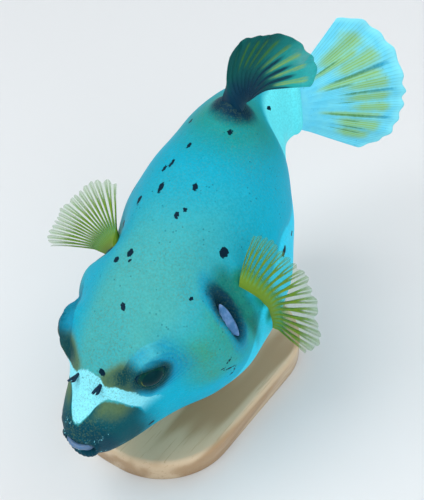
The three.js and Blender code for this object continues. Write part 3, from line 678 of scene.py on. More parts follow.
def open_lids(points, sizes):
    """Inside the opening the skin lies under the eyeball. At the opening's edge it rises through
    the ball to a lid of even thickness, which follows the ball out until the plain skin is higher."""
    for _, _, centre, facing, long, across in EYES:
        gap, aside, height = eye_gap(points, centre, facing, long, across, sizes)
        ball = np.sqrt(np.maximum(EYE_BALL**2 - aside**2, 0.0))
        lid = ball + (sizes.lid_thickness + LID_TUCK) * smoothstep(gap, *LID_EDGE) - LID_TUCK
        near = (aside < LID_FADED * EYE_BALL) & (height > 0)
        higher = np.where(gap > 0, np.maximum(height, lid), lid)
        soft = np.where(gap > 0, larger(height, lid, 0.5 * MM) - 0.1 * MM, lid)
        target = np.where(aside < EYE_BALL, np.where(gap > LID_EDGE[1], soft, higher), height)
        fade = 1 - smoothstep(aside, EYE_BALL, LID_FADED * EYE_BALL)
        target = np.where(aside >= EYE_BALL * 0.995, height + fade * np.maximum(target - height, 0), target)
        points = np.where(near[..., None], points + facing * (target - height)[..., None], points)
        # Outside the opening no skin lies nearer to the eye's middle than the ball and a lid.
        gap, _, height = eye_gap(points, centre, facing, long, across, sizes)
        away = distance(points, centre)
        least = EYE_BALL + sizes.lid_thickness
        clear = larger(away, least, 0.6 * MM)
        outside = np.where(height > 0, smoothstep(gap, 0.2 * MM, 1.2 * MM), 1.0)
        outside = outside * (1 - smoothstep(away, least + 2 * MM, least + 4 * MM))
        points = points + (points - centre) * (outside * (clear / away - 1))[..., None]
    return points


def grid_normals(points):
    """Outward directions of a grid whose columns close on themselves: the cross product of the
    steps along it and round it."""
    along = np.gradient(points, axis=0)
    around = np.roll(points, -1, 1) - np.roll(points, 1, 1)
    return unit(np.cross(along, around))


def lip_rings(angles, sizes):
    """Rings from the mouth's back wall to the snout: each is a mix of an oval and the snout's own
    outline, carried forward by the lips' profile, with fine folds across the lips."""
    share = np.linspace(0.0, 1.0, sizes.lip_rows, endpoint=False)
    own, wide, high, reach = (curve_through(LIPS[:, 0], LIPS[:, k])(share)[:, None] for k in (1, 2, 3, 4))
    centre, left, back, up = spine_frame(0.0)
    out, rise = flesh_outline(0.0, angles)
    turn = np.radians(angles)
    across = (1 - own) * wide * MM * np.cos(turn) + own * out * BODY_LENGTH
    over = (1 - own) * (high * MM * np.sin(turn) - MOUTH_DROP) + own * rise * BODY_LENGTH
    crest = bell(share, 0.72, 0.17)[:, None]
    fold = sizes.lip_fold * crest * np.cos(turn * LIP_FOLDS)
    # The upper lip draws back from the beak, and the corners lie behind the middle.
    jut = crest * (LOWER_JUT * np.clip(-np.sin(turn), 0, 1) + UPPER_JUT * np.clip(np.sin(turn), 0, 1))
    forward = (reach + jut) * MM + fold - MOUTH_SWEEP * np.cos(turn) ** 2
    points = across[..., None] * left + over[..., None] * up - forward[..., None] * back
    return placed(points + centre * BODY_LENGTH)


def tail_rings(angles, sizes):
    """Rings past the tail root, drawing in to a blunt edge: a quarter turn of a rounded end."""
    turn = np.linspace(0.0, 1.0, sizes.tail_rows + 1)[1:, None] * np.pi / 2
    share = 1.0 + TAIL_END * np.sin(turn)
    out, rise = flesh_outline(np.ones_like(share), angles)
    narrow = tail_narrowing(np.ones_like(share)) * np.cos(turn) ** 0.7
    flatten = 0.3 + 0.7 * np.cos(turn) ** 0.6
    return body_point(np.broadcast_to(share, out.shape), out * narrow, rise * flatten)


def tail_narrowing(share):
    """The stalk's sides draw in toward the fin that grows from it."""
    return 1 - TAIL_NARROWED * smoothstep(share, 0.94, 1.0)


def skin_grid(sizes):
    """Places along and angles of the skin's grid: closer round the eyes, mouth and gill slits."""
    shares = spread(0.0, 1.0, sizes.rows, ROW_CROWDS)
    angles = spread(-90.0, 270.0, sizes.columns + 1, COLUMN_CROWDS)[:-1]
    return shares[:, None], angles[None, :]


def skin_points(shares, angles, sizes):
    """The flesh with its finer form, pushed along its outward directions. Wrinkles are a sine of the
    distance out from an eye's opening, a gill slit is a step of an oval's scaled radius, the crease
    and the furrow are bells, and the unevenness is a sum of sines along random directions."""
    share, angle = np.broadcast_arrays(shares, angles)
    out, up = flesh_outline(share, angle)
    swept = MOUTH_SWEEP / BODY_LENGTH * np.cos(np.radians(angle)) ** 2
    swept = swept * (1 - smoothstep(share, 0.0, MOUTH_SWEPT_TO))
    points = seat_eyes(body_point(share + swept, out * tail_narrowing(share), up))
    normals = grid_normals(points)
    raised = np.zeros(share.shape)
    for _, _, centre, facing, long, across in EYES:
        gap, _, height = eye_gap(points, centre, facing, long, across, sizes)
        ridge = np.sin(2 * np.pi * gap / sizes.wrinkle_spacing)
        near = smoothstep(gap, *WRINKLED[:2]) * (1 - smoothstep(gap, *WRINKLED[2:])) * (height > 0)
        raised += sizes.wrinkle_height * ridge * near
    for side in (1, -1):
        here, long, _, forward = gill_frame(side)
        offset = points - here
        halves = (sizes.gill_length / 2, sizes.gill_width / 2)
        reach = np.hypot(offset @ long / halves[0], offset @ forward / halves[1])
        near = distance(points, here) < GILL_NEAR
        hollow = -sizes.gill_depth * smoothstep(1.0 - reach, -0.06, 0.42)
        raised += np.where(near, hollow + GILL_LIP * bell(reach, 1.2, 0.2), 0.0)
    edges = ((turn - BELLY_EDGE(share)) * MM_PER_DEGREE for turn in (angle, 180 - angle))
    crease = CREASE * sum(bell(edge, 0.0, 1.8) for edge in edges)
    raised -= crease * smoothstep(share, 0.34, 0.42) * (1 - smoothstep(share, 0.62, 0.72))
    raised -= FURROW * bell(share, 0.028, 0.007) * bell(off_back(angle), 0, 110)
    rng = np.random.default_rng(11)
    for _ in range(UNEVEN_WAVES):
        way = unit(rng.normal(size=3))
        wave = 2 * np.pi / rng.uniform(*UNEVEN_LENGTHS)
        raised += UNEVEN_HEIGHT * np.sin(points @ way * wave + rng.uniform(0, 6.28))
    points = points + normals * raised[..., None]
    return open_lids(points, sizes)


FAR = 40.0  # what a distance in mm starts from, before any marking is found nearer
PATCH = {"over_eye": 2.6, "tip_along": 0.126, "tip_angle": 64.0, "half_width": 12.0, "taper": 7.5}
BACK_FIN_FOOT = (0.78, 0.01, 0.205)
BELLY_FIN_FOOT = (0.785, 0.0, -0.182)
SIDE_FIN_FEET = (28.0, 14.0, 0.0)  # angles round the body


def skin_fields(points, shares, angles, sizes):
    """Numbers at each point of the skin that its colours are worked out from, in mm or from 0 to 1."""
    share, angle = np.broadcast_arrays(shares, angles)
    off = off_back(angle)
    muzzle = (share - BAND_FRONT(off)) * BODY_LENGTH / MM
    band = np.maximum((share - BAND_REAR(off)) * BODY_LENGTH / MM, -muzzle)
    eye, patch, gill, root = (np.full(share.shape, FAR) for _ in range(4))
    fore, behind = np.zeros(share.shape), np.zeros(share.shape)
    for _, side, centre, facing, long, across in EYES:
        gap, aside, height = eye_gap(points, centre, facing, long, across, sizes)
        beyond = np.where(height > -2 * MM, gap / MM, FAR)
        behind = np.where(beyond < eye, (points - centre) @ long / np.maximum(aside, MM), behind)
        eye = np.minimum(eye, beyond)
        # The patch is a tapering band from just over the eye to a tip at the snout.
        start = centre - PATCH["over_eye"] * MM * across
        way = flesh(PATCH["tip_along"], mirrored(PATCH["tip_angle"], side)) - start
        t = np.clip((points - start) @ way / (way @ way), 0, 1)
        here = distance(points, start + t[..., None] * way) / MM - PATCH["half_width"] + PATCH["taper"] * t
        fore = np.where(here < patch, t, fore)
        patch = np.minimum(patch, here)
    for side in (1, -1):
        here, long, _, forward = gill_frame(side)
        halves = (sizes.gill_length / 2, sizes.gill_width / 2)
        gap = oval_gap(points, here, long, forward, halves) / MM
        gill = np.where(distance(points, here) < GILL_COLOURS, np.minimum(gill, gap), gill)
        for rise in SIDE_FIN_FEET:
            root = np.minimum(root, distance(points, flesh(SIDE_FIN_PLACE, mirrored(rise, side))) / MM)
    belly = np.minimum(angle, 180.0 - angle) - BELLY_EDGE(share)
    belly = np.where(np.sin(np.radians(angle)) < -0.9, -60.0, belly) * MM_PER_DEGREE
    return {
        "along": share, "off_back": off, "sideways": np.cos(np.radians(angle)),
        "spot_gap": spot_gap(points), "band_gap": band, "muzzle_gap": muzzle, "belly_gap": belly,
        "eye_gap": eye, "eye_behind": behind, "patch_gap": patch, "patch_fore": fore,
        "gill_gap": gill, "fin_root": root,
        "back_root": distance(points, body_point(*BACK_FIN_FOOT)) / MM,
        "belly_root": distance(points, body_point(*BELLY_FIN_FOOT)) / MM,
    }


# ---- Materials ----------------------------------------------------------------------------------

class Recipe:
    """A material's nodes, added a step at a time over a ground colour."""

    def __init__(self, name, roughness, ground, **constants):
        self.material = bpy.data.materials.new(name)
        self.material.use_nodes = True
        self.tree = self.material.node_tree
        self.shader = self.tree.nodes["Principled BSDF"]
        for socket, value in {"Roughness": roughness, **constants}.items():
            self.shader.inputs[socket.replace("_", " ")].default_value = value
        self.place = self.add("TexCoord").outputs["Object"]
        self.colour = ground
        self.fields = {}

    def add(self, kind, inputs=None, **settings):
        """A node with its settings, and its inputs either linked or set."""
        node = self.tree.nodes.new("ShaderNode" + kind)
        for setting, value in settings.items():
            setattr(node, setting, value)
        for socket, value in (inputs or {}).items():
            if isinstance(value, bpy.types.NodeSocket):
                self.tree.links.new(value, node.inputs[socket])
            else:
                node.inputs[socket].default_value = value
        return node

    def field(self, name):
        """A number stored at the mesh's points."""
        if name not in self.fields:
            self.fields[name] = self.add("Attribute", attribute_name=name).outputs["Fac"]
        return self.fields[name]

    def math(self, operation, a, b=0.0):
        """A sum, sine or the like of numbers."""
        return self.add("Math", {0: a, 1: b}, operation=operation).outputs[0]

    def times(self, product, *others):
        """The product of numbers."""
        for other in others:
            product = self.math("MULTIPLY", product, other)
        return product

    def rise(self, value, low, high, start=0.0, end=1.0):
        """Goes smoothly from start to end as value goes from low to high."""
        sockets = {"Value": value, "From Min": low, "From Max": high, "To Min": start, "To Max": end}
        return self.add("MapRange", sockets, interpolation_type="SMOOTHSTEP").outputs["Result"]

    def noise(self, size, detail=2.0, roughness=0.5, stretch=None):
        """Cloudy noise from 0 to 1 whose clouds are about size metres across."""
        place = self.place
        if stretch is not None:
            place = self.add("Mapping", {"Vector": place, "Scale": stretch}).outputs["Vector"]
        sockets = {"Vector": place, "Scale": 1 / size, "Detail": detail, "Roughness": roughness}
        return self.add("TexNoise", sockets).outputs["Fac"]

    def cells(self, size):
        """Distance to the nearest of points scattered about size metres apart, as a share of size."""
        return self.add("TexVoronoi", {"Vector": self.place, "Scale": 1 / size}).outputs["Distance"]

    def wander(self, value, size, amount):
        """A number pushed up and down by noise, so that an edge drawn from it isn't straight."""
        shift = self.times(self.math("SUBTRACT", self.noise(size, 3.0), 0.5), 2 * amount)
        return self.math("ADD", value, shift)

    def edge(self, value, size, amount, low, high, start=0.0, end=1.0):
        """The rise of a number that wanders."""
        return self.rise(self.wander(value, size, amount), low, high, start, end)

    def blend(self, share, a, b):
        """A number between a and b."""
        return self.add("Mix", {0: share, 2: a, 3: b}, data_type="FLOAT").outputs[0]

    def mix(self, share, a, b):
        """A colour between a and b."""
        sockets = {0: share, 6: opaque(a), 7: opaque(b)}
        return self.add("Mix", sockets, data_type="RGBA", clamp_factor=True).outputs[2]

    def paint(self, share, tint):
        """Lays a share of a colour over the colour so far."""
        self.colour = self.mix(share, self.colour, tint)

    def shift(self, share, brightness, saturation):
        """Lays a share of a brighter or duller form of the colour over itself."""
        sockets = {"Color": self.colour, "Value": brightness, "Saturation": saturation}
        self.paint(share, self.add("HueSaturation", sockets).outputs["Color"])

    def bump(self, height, metres, strength=1.0, under=None):
        """The surface's direction, tilted as if height from 0 to 1 stood so many metres proud."""
        sockets = {"Height": height, "Distance": metres, "Strength": strength}
        if under is not None:
            sockets["Normal"] = under
        return self.add("Bump", sockets).outputs["Normal"]

    def finish(self, **sockets):
        """Links the colour so far and other sockets to the shader, and gives the material."""
        for name, value in {"Base_Color": self.colour, **sockets}.items():
            self.tree.links.new(value, self.shader.inputs[name.replace("_", " ")])
        return self.material


def opaque(value):
    """A colour setting as a shader's four numbers; a socket stays as it is."""
    return value if isinstance(value, bpy.types.NodeSocket) else (*value[:3], 1.0)


def paint_ground(r, looks, cloud, mottle):
    """Bluer flanks, a greyer nape kept off the right side as painted shade, green cheeks, a pale belly,
    a bright tail stalk and olive fin roots. Gives the shares of nape and cheek."""
    along, off = r.field("along"), r.field("off_back")
    r.paint(r.edge(off, 0.02, 14.0, 28.0, 78.0), looks.flank)
    # The nape's grey stops short on the right side, leaving the bluer ground there as painted shade.
    nape = r.times(r.edge(along, 0.03, 0.05, 0.62, 0.34), r.rise(off, 74.0, 26.0),
                   r.rise(r.field("sideways"), -0.55, -0.15))
    r.paint(r.times(nape, r.rise(cloud, 0.2, 0.7, 1.0, 0.75)), looks.crown)
    cheek = r.times(r.rise(along, 0.2, 0.28), r.rise(along, 0.42, 0.37), r.rise(off, 42.0, 62.0),
                    r.rise(off, 102.0, 84.0))
    r.paint(r.times(cheek, r.edge(cloud, 0.01, 0.2, 0.3, 0.75, 0.55, 0.95)), looks.cheek)
    r.paint(r.edge(r.field("belly_gap"), 0.01, 0.8, 0.6, -1.0), looks.belly)
    # The tail stalk is bright up to a slanting edge below the rump.
    slant = r.math("ADD", along, r.times(r.wander(off, 0.01, 5.0), 0.0036))
    r.paint(r.times(r.rise(slant, 1.0, 1.07), r.edge(along, 0.02, 0.03, 0.62, 0.82)), looks.stalk)
    rump = r.times(r.edge(r.field("back_root"), 0.012, 5.0, 42.0, 13.0), r.rise(slant, 1.05, 0.99), 0.74)
    foot = r.times(r.edge(r.field("fin_root"), 0.006, 1.2, 7.5, 2.5), r.rise(off, 44.0, 56.0))
    r.paint(r.times(r.math("MAXIMUM", rump, foot), r.rise(mottle, 0.2, 0.7, 0.75, 1.0)), looks.olive)
    return nape, cheek


def paint_eyes(r, looks):
    """A blue shade behind each eye with ring lines of painted shade along its wrinkles, a painted
    shade that darkens the right side round the eye, then a dark patch, brown toward the snout."""
    eye, fore, behind = r.field("eye_gap"), r.field("patch_fore"), r.field("eye_behind")
    glow = r.times(r.edge(eye, 0.01, 2.0, 15.0, 6.0), r.rise(behind, 0.75, 0.1))
    r.paint(r.times(glow, r.rise(fore, 0.4, 0.05, 0.0, 0.22)), looks.tail_blue)
    # Painted shade: the dark snout colour laid round the eye on the right side only.
    right = r.rise(r.field("sideways"), -0.35, -0.65)
    r.paint(r.times(r.edge(eye, 0.01, 3.0, 17.0, 7.0, 0.0, 0.7), right), looks.muzzle)
    # Painted shade of the wrinkles: the blue shade is laid on in rings about 1.5 mm apart, like the wrinkles'
    # own spacing.
    shade = r.times(r.rise(eye, 12.0, 3.0, 0.0, 0.95), r.rise(behind, 0.1, 0.7))
    rings = r.math("SINE", r.times(eye, 4.2))
    r.paint(r.times(shade, r.rise(rings, -1.0, 1.0, 0.6, 1.0)), looks.shade)
    patch = r.wander(r.field("patch_gap"), 0.008, 1.2)
    rim = r.mix(r.edge(fore, 0.01, 0.15, 0.2, 0.6), looks.shade, looks.brown)
    r.paint(r.rise(patch, 2.6, -1.6, 0.0, 0.92), rim)
    core = r.edge(fore, 0.008, 0.1, 0.7, 1.1, 0.97, 0.3)
    r.paint(r.times(r.rise(patch, 0.6, -4.0), core), looks.dark)
    r.paint(r.edge(eye, 0.006, 0.6, 3.4, 0.2, 0.0, 0.95), looks.dark)


def paint_snout(r, looks):
    """The pale band, the dark snout before it, sharp above and soft at the sides, and white flecks
    about the mouth."""
    along, off = r.field("along"), r.field("off_back")
    band, muzzle = (r.wander(r.wander(r.field(name), 0.004, 0.9), 0.0012, 0.7)
                    for name in ("band_gap", "muzzle_gap"))
    r.paint(r.times(r.rise(band, 0.4, -0.5), r.rise(off, 86.0, 66.0)), looks.band)
    tan = r.times(r.rise(off, 18.0, 34.0), r.rise(off, 74.0, 52.0), r.edge(muzzle, 0.008, 2.0, -12.0, -3.0))
    depth = r.mix(r.times(tan, 0.8), looks.muzzle, looks.brown)
    depth = r.mix(r.rise(along, 0.055, 0.015, 0.0, 0.6), depth, looks.navy)
    r.paint(r.blend(r.rise(off, 66.0, 92.0), r.rise(muzzle, 0.3, -1.2), r.rise(muzzle, 9.0, -8.0)), depth)
    flecks = r.times(r.rise(r.noise(0.0015, 4.0, 0.7), 0.58, 0.64), r.rise(r.noise(0.007, 2.0), 0.5, 0.6))
    r.paint(r.times(flecks, r.rise(along, 0.06, 0.02, 0.0, 0.9)), looks.band)


def paint_roots_and_gills(r, looks, mottle):
    """Near-black fin roots and gill slits, a blue shade round each slit, wider above, and an olive
    hollow behind it, partly the skin's olive tint and partly painted shade in the hollow."""
    along, off, gill = r.field("along"), r.field("off_back"), r.field("gill_gap")
    root = r.edge(r.wander(r.field("back_root"), 0.005, 1.6), 0.0015, 0.8, 15.5, 8.5)
    under = r.edge(r.field("belly_root"), 0.005, 1.2, 10.0, 5.5, 0.0, 0.8)
    r.paint(r.math("MAXIMUM", root, under), looks.navy)
    slit = r.math("SUBTRACT", gill, r.rise(off, 68.0, 58.0, 0.0, 1.3))
    r.paint(r.edge(slit, 0.005, 1.2, 4.2, 0.8, 0.0, 0.8), looks.shade)
    # Partly olive skin and partly painted shade: the dark snout colour mixed in where the flesh dips behind
    # the slit.
    hollow = r.times(r.edge(gill, 0.005, 0.8, 13.0, 5.0), r.rise(along, 0.37, 0.386), r.rise(off, 40.0, 54.0))
    r.paint(r.times(hollow, 0.92), r.mix(mottle, looks.muzzle, looks.olive))
    r.paint(r.edge(slit, 0.004, 0.8, 2.0, -0.8, 0.0, 0.94), looks.navy)


def skin_material(looks):
    """Turquoise skin with a pale band, dark patches, spots and a fine prickly grain. Each marking
    is a rise over a field stored at the skin's points, pushed about by noise at its edge."""
    r = Recipe("puffer_skin", 0.5, looks.back, Specular_IOR_Level=0.07)
    cloud, mottle, grain = r.noise(0.028, 3.0), r.noise(0.006, 4.0, 0.6), r.noise(0.0011, 3.0, 0.65)
    along, off = r.field("along"), r.field("off_back")
    nape, cheek = paint_ground(r, looks, cloud, mottle)
    paint_eyes(r, looks)
    paint_snout(r, looks)
    paint_roots_and_gills(r, looks, mottle)
    # An olive dust over the nape, the cheeks and, more thinly, the back.
    dusted = r.math("MAXIMUM", r.math("MAXIMUM", nape, cheek), r.rise(off, 90.0, 40.0, 0.0, 0.6))
    dust = r.times(r.rise(cloud, 0.3, 0.6, 0.14, 0.42), dusted, r.rise(r.noise(0.0008, 3.0, 0.7), 0.48, 0.62))
    r.paint(dust, looks.brown)
    # Grain: fine dark and light stipple, a few dark specks, and the spots.
    r.shift(r.rise(grain, 0.36, 0.64, 0.4, 0.0), 0.76, 1.05)
    r.shift(r.rise(mottle, 0.5, 0.75, 0.0, 0.5), 1.14, 1.0)
    specks = r.times(r.rise(r.cells(0.0026), 0.2, 0.12), r.rise(r.noise(0.012, 2.0), 0.5, 0.62))
    r.paint(r.times(specks, r.rise(off, 110.0, 70.0, 0.0, 0.45)), looks.dark)
    r.paint(r.edge(r.wander(r.field("spot_gap"), 0.0026, 0.6), 0.001, 0.7, 0.12, -0.1), looks.spot)
    prickle = r.times(r.rise(r.cells(0.0014), 0.5, 0.1), r.rise(along, 0.07, 0.14))
    normal = r.bump(grain, 0.00012, 0.7, r.bump(prickle, 0.00009, 0.8))
    return r.finish(Roughness=r.rise(grain, 0.2, 0.8, 0.4, 0.6), Normal=r.bump(mottle, 0.0003, 0.5, normal))


def side_fin_material(looks):
    """Olive-yellow rays that narrow and fade toward their tips, in a nearly clear membrane, solid
    where they leave the flesh."""
    r = Recipe("side_fin", 0.5, looks.web, Specular_IOR_Level=0.15)
    reach, fine = r.field("reach"), r.noise(0.0014, 3.0)
    rod = r.mix(r.rise(fine, 0.3, 0.7), looks.ray, looks.ray_green)
    rod = r.mix(r.rise(reach, 0.6, 1.0, 0.0, 0.45), rod, looks.web)
    # The mask's edge climbs the ray's ridge toward the tip, which narrows the ray.
    mask = r.rise(r.math("SUBTRACT", r.field("ray"), r.times(reach, 0.42)), 0.12, 0.46)
    r.paint(mask, rod)
    r.paint(r.edge(reach, 0.006, 0.05, 0.2, 0.04), r.mix(fine, looks.ray_green, looks.ray))
    clear = r.rise(reach, 0.08, 0.42, 0.9, 0.1)
    bony = r.edge(reach, 0.006, 0.1, 0.5, 1.0, 1.0, 0.3)
    alpha = r.math("MAXIMUM", r.blend(mask, clear, bony), r.rise(reach, 0.2, 0.1))
    return r.finish(Alpha=alpha, Normal=r.bump(fine, 0.0001, 0.6))


def fine_lines(r, lines):
    """Fine lines along the rays, from -1 to 1: a sine of the place across the fan."""
    return r.math("SINE", r.times(r.wander(r.field("fan"), 0.01, 0.004), lines * 2 * math.pi))


def tail_fin_material(looks):
    """A pale fin with broad yellow streaks along its rays, olive lines in them and a pale rim."""
    r = Recipe("tail_fin", 0.5, looks.tail, Specular_IOR_Level=0.15)
    reach, lines = r.field("reach"), fine_lines(r, 56)
    fine, mottle = r.noise(0.0012, 4.0, 0.6), r.noise(0.006, 3.0)
    r.paint(r.rise(mottle, 0.3, 0.7, 0.0, 0.6), looks.tail_blue)
    streak = r.edge(r.wander(r.field("streak"), 0.007, 0.3), 0.0015, 0.12, 0.1, 1.05, 0.0, 0.95)
    r.paint(r.times(streak, r.rise(lines, -1.0, 1.0, 0.7, 1.0)), looks.streak)
    dark = r.edge(r.wander(r.field("dark_line"), 0.006, 0.3), 0.0015, 0.15, 0.1, 1.0, 0.0, 0.85)
    ink = r.mix(r.rise(reach, 0.55, 0.9), looks.tail_olive, looks.shade)
    r.paint(r.times(dark, r.rise(fine, 0.2, 0.6, 0.6, 1.0)), ink)
    r.paint(r.times(r.rise(lines, 0.3, 1.0), r.rise(reach, 0.05, 0.3, 0.0, 0.2)), looks.olive)
    r.paint(r.edge(reach, 0.006, 0.03, 0.9, 0.99, 0.0, 0.8), looks.band)
    specks = r.times(r.rise(r.cells(0.0022), 0.16, 0.1), r.rise(mottle, 0.5, 0.6, 0.0, 0.35))
    r.paint(specks, looks.dark)
    return r.finish(Normal=r.bump(fine, 0.00008, 0.6, r.bump(lines, 0.00004, 0.6)))


def dark_fin_material(looks):
    """Near-black at the root, then dark green with olive streaks along the rays, and thinner and
    bluer toward the last rays, where dark lines lie between the streaks."""
    r = Recipe("dark_fin", 0.5, looks.fin_dark, Specular_IOR_Level=0.12)
    reach, fan, lines, fine = r.field("reach"), r.field("fan"), fine_lines(r, 44), r.noise(0.0013, 4.0, 0.6)
    r.paint(r.times(r.rise(fan, 0.45, 0.9), r.edge(reach, 0.006, 0.1, 0.3, 0.85)), looks.fin_blue)
    streak = r.edge(r.wander(r.field("streak"), 0.005, 0.3), 0.0015, 0.1, 0.3, 1.0, 0.0, 0.9)
    ink = r.mix(r.rise(fan, 0.55, 0.85), looks.fin_olive, looks.streak)
    r.paint(r.times(streak, r.rise(lines, -1.0, 1.0, 0.5, 1.0)), ink)
    r.paint(r.edge(r.field("dark_line"), 0.003, 0.2, 0.2, 0.8, 0.0, 0.9), looks.navy)
    r.paint(r.edge(reach, 0.006, 0.1, 0.5, 0.14), looks.navy)
    thin = r.times(r.rise(fan, 0.5, 0.9), r.rise(reach, 0.55, 0.95), r.rise(fine, 0.2, 0.7, 0.5, 1.0))
    normal = r.bump(fine, 0.0001, 0.6, r.bump(lines, 0.00005, 0.6))
    return r.finish(Alpha=r.rise(thin, 0.0, 1.0, 1.0, 0.6), Normal=normal)


def eye_material(looks):
    """Rings about the eye's axis: pupil, a thin gold ring that fades out above, a flecked dark green
    iris and a dark rim."""
    r = Recipe("eye", 0.22, looks.pupil, Specular_IOR_Level=0.04)
    axis, fleck = r.wander(r.field("axis"), 0.0018, 0.7), r.noise(0.0009, 4.0, 0.7)
    iris = r.mix(r.rise(fleck, 0.52, 0.68, 0.0, 0.3), looks.iris, looks.gold)
    iris = r.mix(r.rise(axis, 44.0, 58.0), iris, looks.navy)
    r.paint(r.rise(axis, 35.4, 37.0), r.mix(r.rise(r.field("low"), -0.15, 0.4), looks.iris, looks.gold))
    r.paint(r.rise(axis, 37.4, 40.0), iris)
    return r.finish(Normal=r.bump(fleck, 0.00003, 0.4))


def flesh_material(name, base, second, roughness, size):
    """Moist flesh of one colour clouded with another, with a fine uneven surface."""
    r = Recipe(name, roughness, base, Specular_IOR_Level=0.2)
    r.paint(r.rise(r.noise(size, 3.0), 0.35, 0.65), second)
    return r.finish(Normal=r.bump(r.noise(size / 5, 3.0), size / 30, 0.6))


def tooth_material(looks):
    """A smooth clouded beak."""
    r = Recipe("tooth", 0.3, looks.tooth, Specular_IOR_Level=0.3)
    cloud = r.noise(0.0012, 3.0)
    r.paint(r.rise(cloud, 0.35, 0.7, 0.0, 0.6), looks.gill)
    return r.finish(Normal=r.bump(cloud, 0.00005, 0.5))


def wood_material(looks):
    """Oiled ash: long grain along the base, with fine pores."""
    r = Recipe("ash", 0.36, looks.wood, Coat_Weight=0.2, Coat_Roughness=0.25)
    lines = r.math("SINE", r.times(r.noise(0.05, 3.0, 0.5, (1.0, 0.14, 1.0)), 46.0))
    pores = r.noise(0.0011, 4.0, 0.6, (1.0, 0.045, 1.0))
    r.paint(r.rise(lines, -1.0, 1.0), looks.wood_dark)
    r.paint(r.rise(pores, 0.56, 0.72, 0.0, 0.7), looks.wood_dark)
    return r.finish(Roughness=r.rise(pores, 0.3, 0.7, 0.3, 0.48), Normal=r.bump(pores, 0.00006, 0.5))


def steel_material(looks):
    """Brushed steel: fine scratches round the rod."""
    r = Recipe("rod_steel", 0.28, looks.steel, Metallic=1.0)
    brush = r.noise(0.0025, 3.0, 0.6, (1.0, 1.0, 22.0))
    r.paint(r.rise(brush, 0.3, 0.7, 0.0, 0.25), looks.navy)
    return r.finish(Roughness=r.rise(brush, 0.3, 0.7, 0.2, 0.36), Normal=r.bump(brush, 0.00001, 0.4))


def floor_material(looks):
    """A pale floor with faint clouds."""
    r = Recipe("studio_floor", 0.7, looks.floor)
    r.paint(r.noise(0.4), [0.97 * v for v in looks.floor])
    return r.finish()


# ---- Fins ---------------------------------------------------------------------------------------

# Roots run from the first ray to the last as (along, out, up); ways are the directions of the
# first, middle and last ray as (left, back, up), and lengths are shares of the body's. A root is so
# many mm thick, and has thinned at a share of a ray. Relief is how far the rays stand out.
MEDIAN_RAYS = {"rays": 11, "scallop": 0.5}
SIDE_RAYS = {"rays": 18, "scallop": 1.6, "thick": 3.8, "thinned": 0.22, "relief": 0.8}
MEDIAN_FINS = {
    "caudal_fin": {
        "thick": 4.0, "thinned": 0.3, "relief": 0.3,
        "root": ((1.0, 0.0, 0.07), (1.015, 0.0, 0.012), (1.0, 0.0, -0.048)),
        "ways": ((-0.154, 0.682, 0.715), (0.0, 1.0, -0.02), (-0.096, 0.842, -0.53)),
        "lengths": (0.213, 0.2683, 0.2185), "curl": (-0.04, 0.0, 0.0),
    },
    "dorsal_fin": {
        "thick": 10.0, "thinned": 0.46, "relief": 0.55,
        "root": ((0.755, 0.0, 0.225), (0.785, 0.014, 0.222), (0.81, 0.028, 0.208)),
        "ways": ((-0.33, 0.3, 0.9), (0.22, 0.47, 0.86), (0.88, 0.47, -0.02)),
        "lengths": (0.141, 0.162, 0.144), "curl": (0.22, 0.04, -0.05),
    },
    "anal_fin": {
        "thick": 4.6, "thinned": 0.34, "relief": 0.55,
        "root": ((0.75, 0.0, -0.17), (0.785, 0.0, -0.16), (0.82, 0.0, -0.145)),
        "ways": ((-0.1, 0.4, -0.9), (0.15, 0.65, -0.75), (0.45, 0.8, -0.35)),
        "lengths": (0.13, 0.18, 0.15), "curl": (0.0, 0.05, 0.0),
    },
}
SIDE_FIN_PLACE = 0.43
SIDE_FINS = {
    "pectoral_fin_left": {
        "side": 1, "angles": (29.0, 12.0, -20.0),
        "ways": ((0.23, 0.483, 0.845), (0.662, 0.226, 0.714), (0.865, -0.34, -0.37)),
        "lengths": (0.1476, 0.1488, 0.1003), "curl": (0.05, 0.0, -0.12),
    },
    "pectoral_fin_right": {
        "side": -1, "angles": (37.0, 28.0, 17.0),
        "ways": ((-0.1, 0.644, 0.758), (-0.815, 0.25, 0.522), (-0.975, -0.156, 0.157)),
        "lengths": (0.1726, 0.1628, 0.1698), "curl": (0.0, -0.02, -0.16),
    },
}
FIN_ROOTED = 4 * MM
CORNER_ROUNDING = 0.12
RAY_LEAN = 0.32  # how far a ray's tip may stand aside, as a share of the gap between rays
RAY_SHORTER = 0.03  # how much shorter than its fellows a ray may be
GAP_DEPTHS = (0.3, 1.7)  # how deeply the edge draws in, from one gap to another
RIPPLES = ((2.6, 1, 0.6), (5.3, 2, 0.3))  # waves across the fan, share of the phase, and height
MEMBRANE_SAG = 0.5 * MM
RIDGE_WIDTH = (0.23, 0.12)  # half width of a ray in gaps, and how much of it goes toward the tip
RAY_JOINTS = 26
# Streaks of the tail fin: place across the fan, reach, and where along the rays they start and end.
TAIL_STREAKS = [(0.14, 0.07, 0.2, 0.93), (0.2, 0.03, 0.02, 0.8), (0.27, 0.06, 0.25, 0.94),
                (0.36, 0.035, 0.05, 0.9), (0.42, 0.05, 0.3, 0.94), (0.52, 0.05, 0.3, 0.94),
                (0.61, 0.05, 0.35, 0.94), (0.68, 0.03, 0.08, 0.9), (0.77, 0.06, 0.25, 0.93),
                (0.87, 0.06, 0.3, 0.9)]
TAIL_DARKS = [(0.185, 0.009, 0.06, 0.6), (0.335, 0.013, 0.2, 0.98), (0.39, 0.008, 0.08, 0.6),
              (0.475, 0.012, 0.26, 0.98), (0.56, 0.007, 0.2, 0.6), (0.69, 0.014, 0.12, 0.98),
              (0.75, 0.006, 0.2, 0.7), (0.81, 0.008, 0.25, 0.8), (0.86, 0.006, 0.2, 0.8)]


def bow(three, t):
    """The parabola through three values, at t = 0, 1/2 and 1."""
    first, middle, last = (np.asarray(value, float) for value in three)
    t = np.asarray(t)[..., None] if first.ndim else np.asarray(t)
    return first * (1 - t) * (1 - 2 * t) + middle * 4 * t * (1 - t) + last * t * (2 * t - 1)


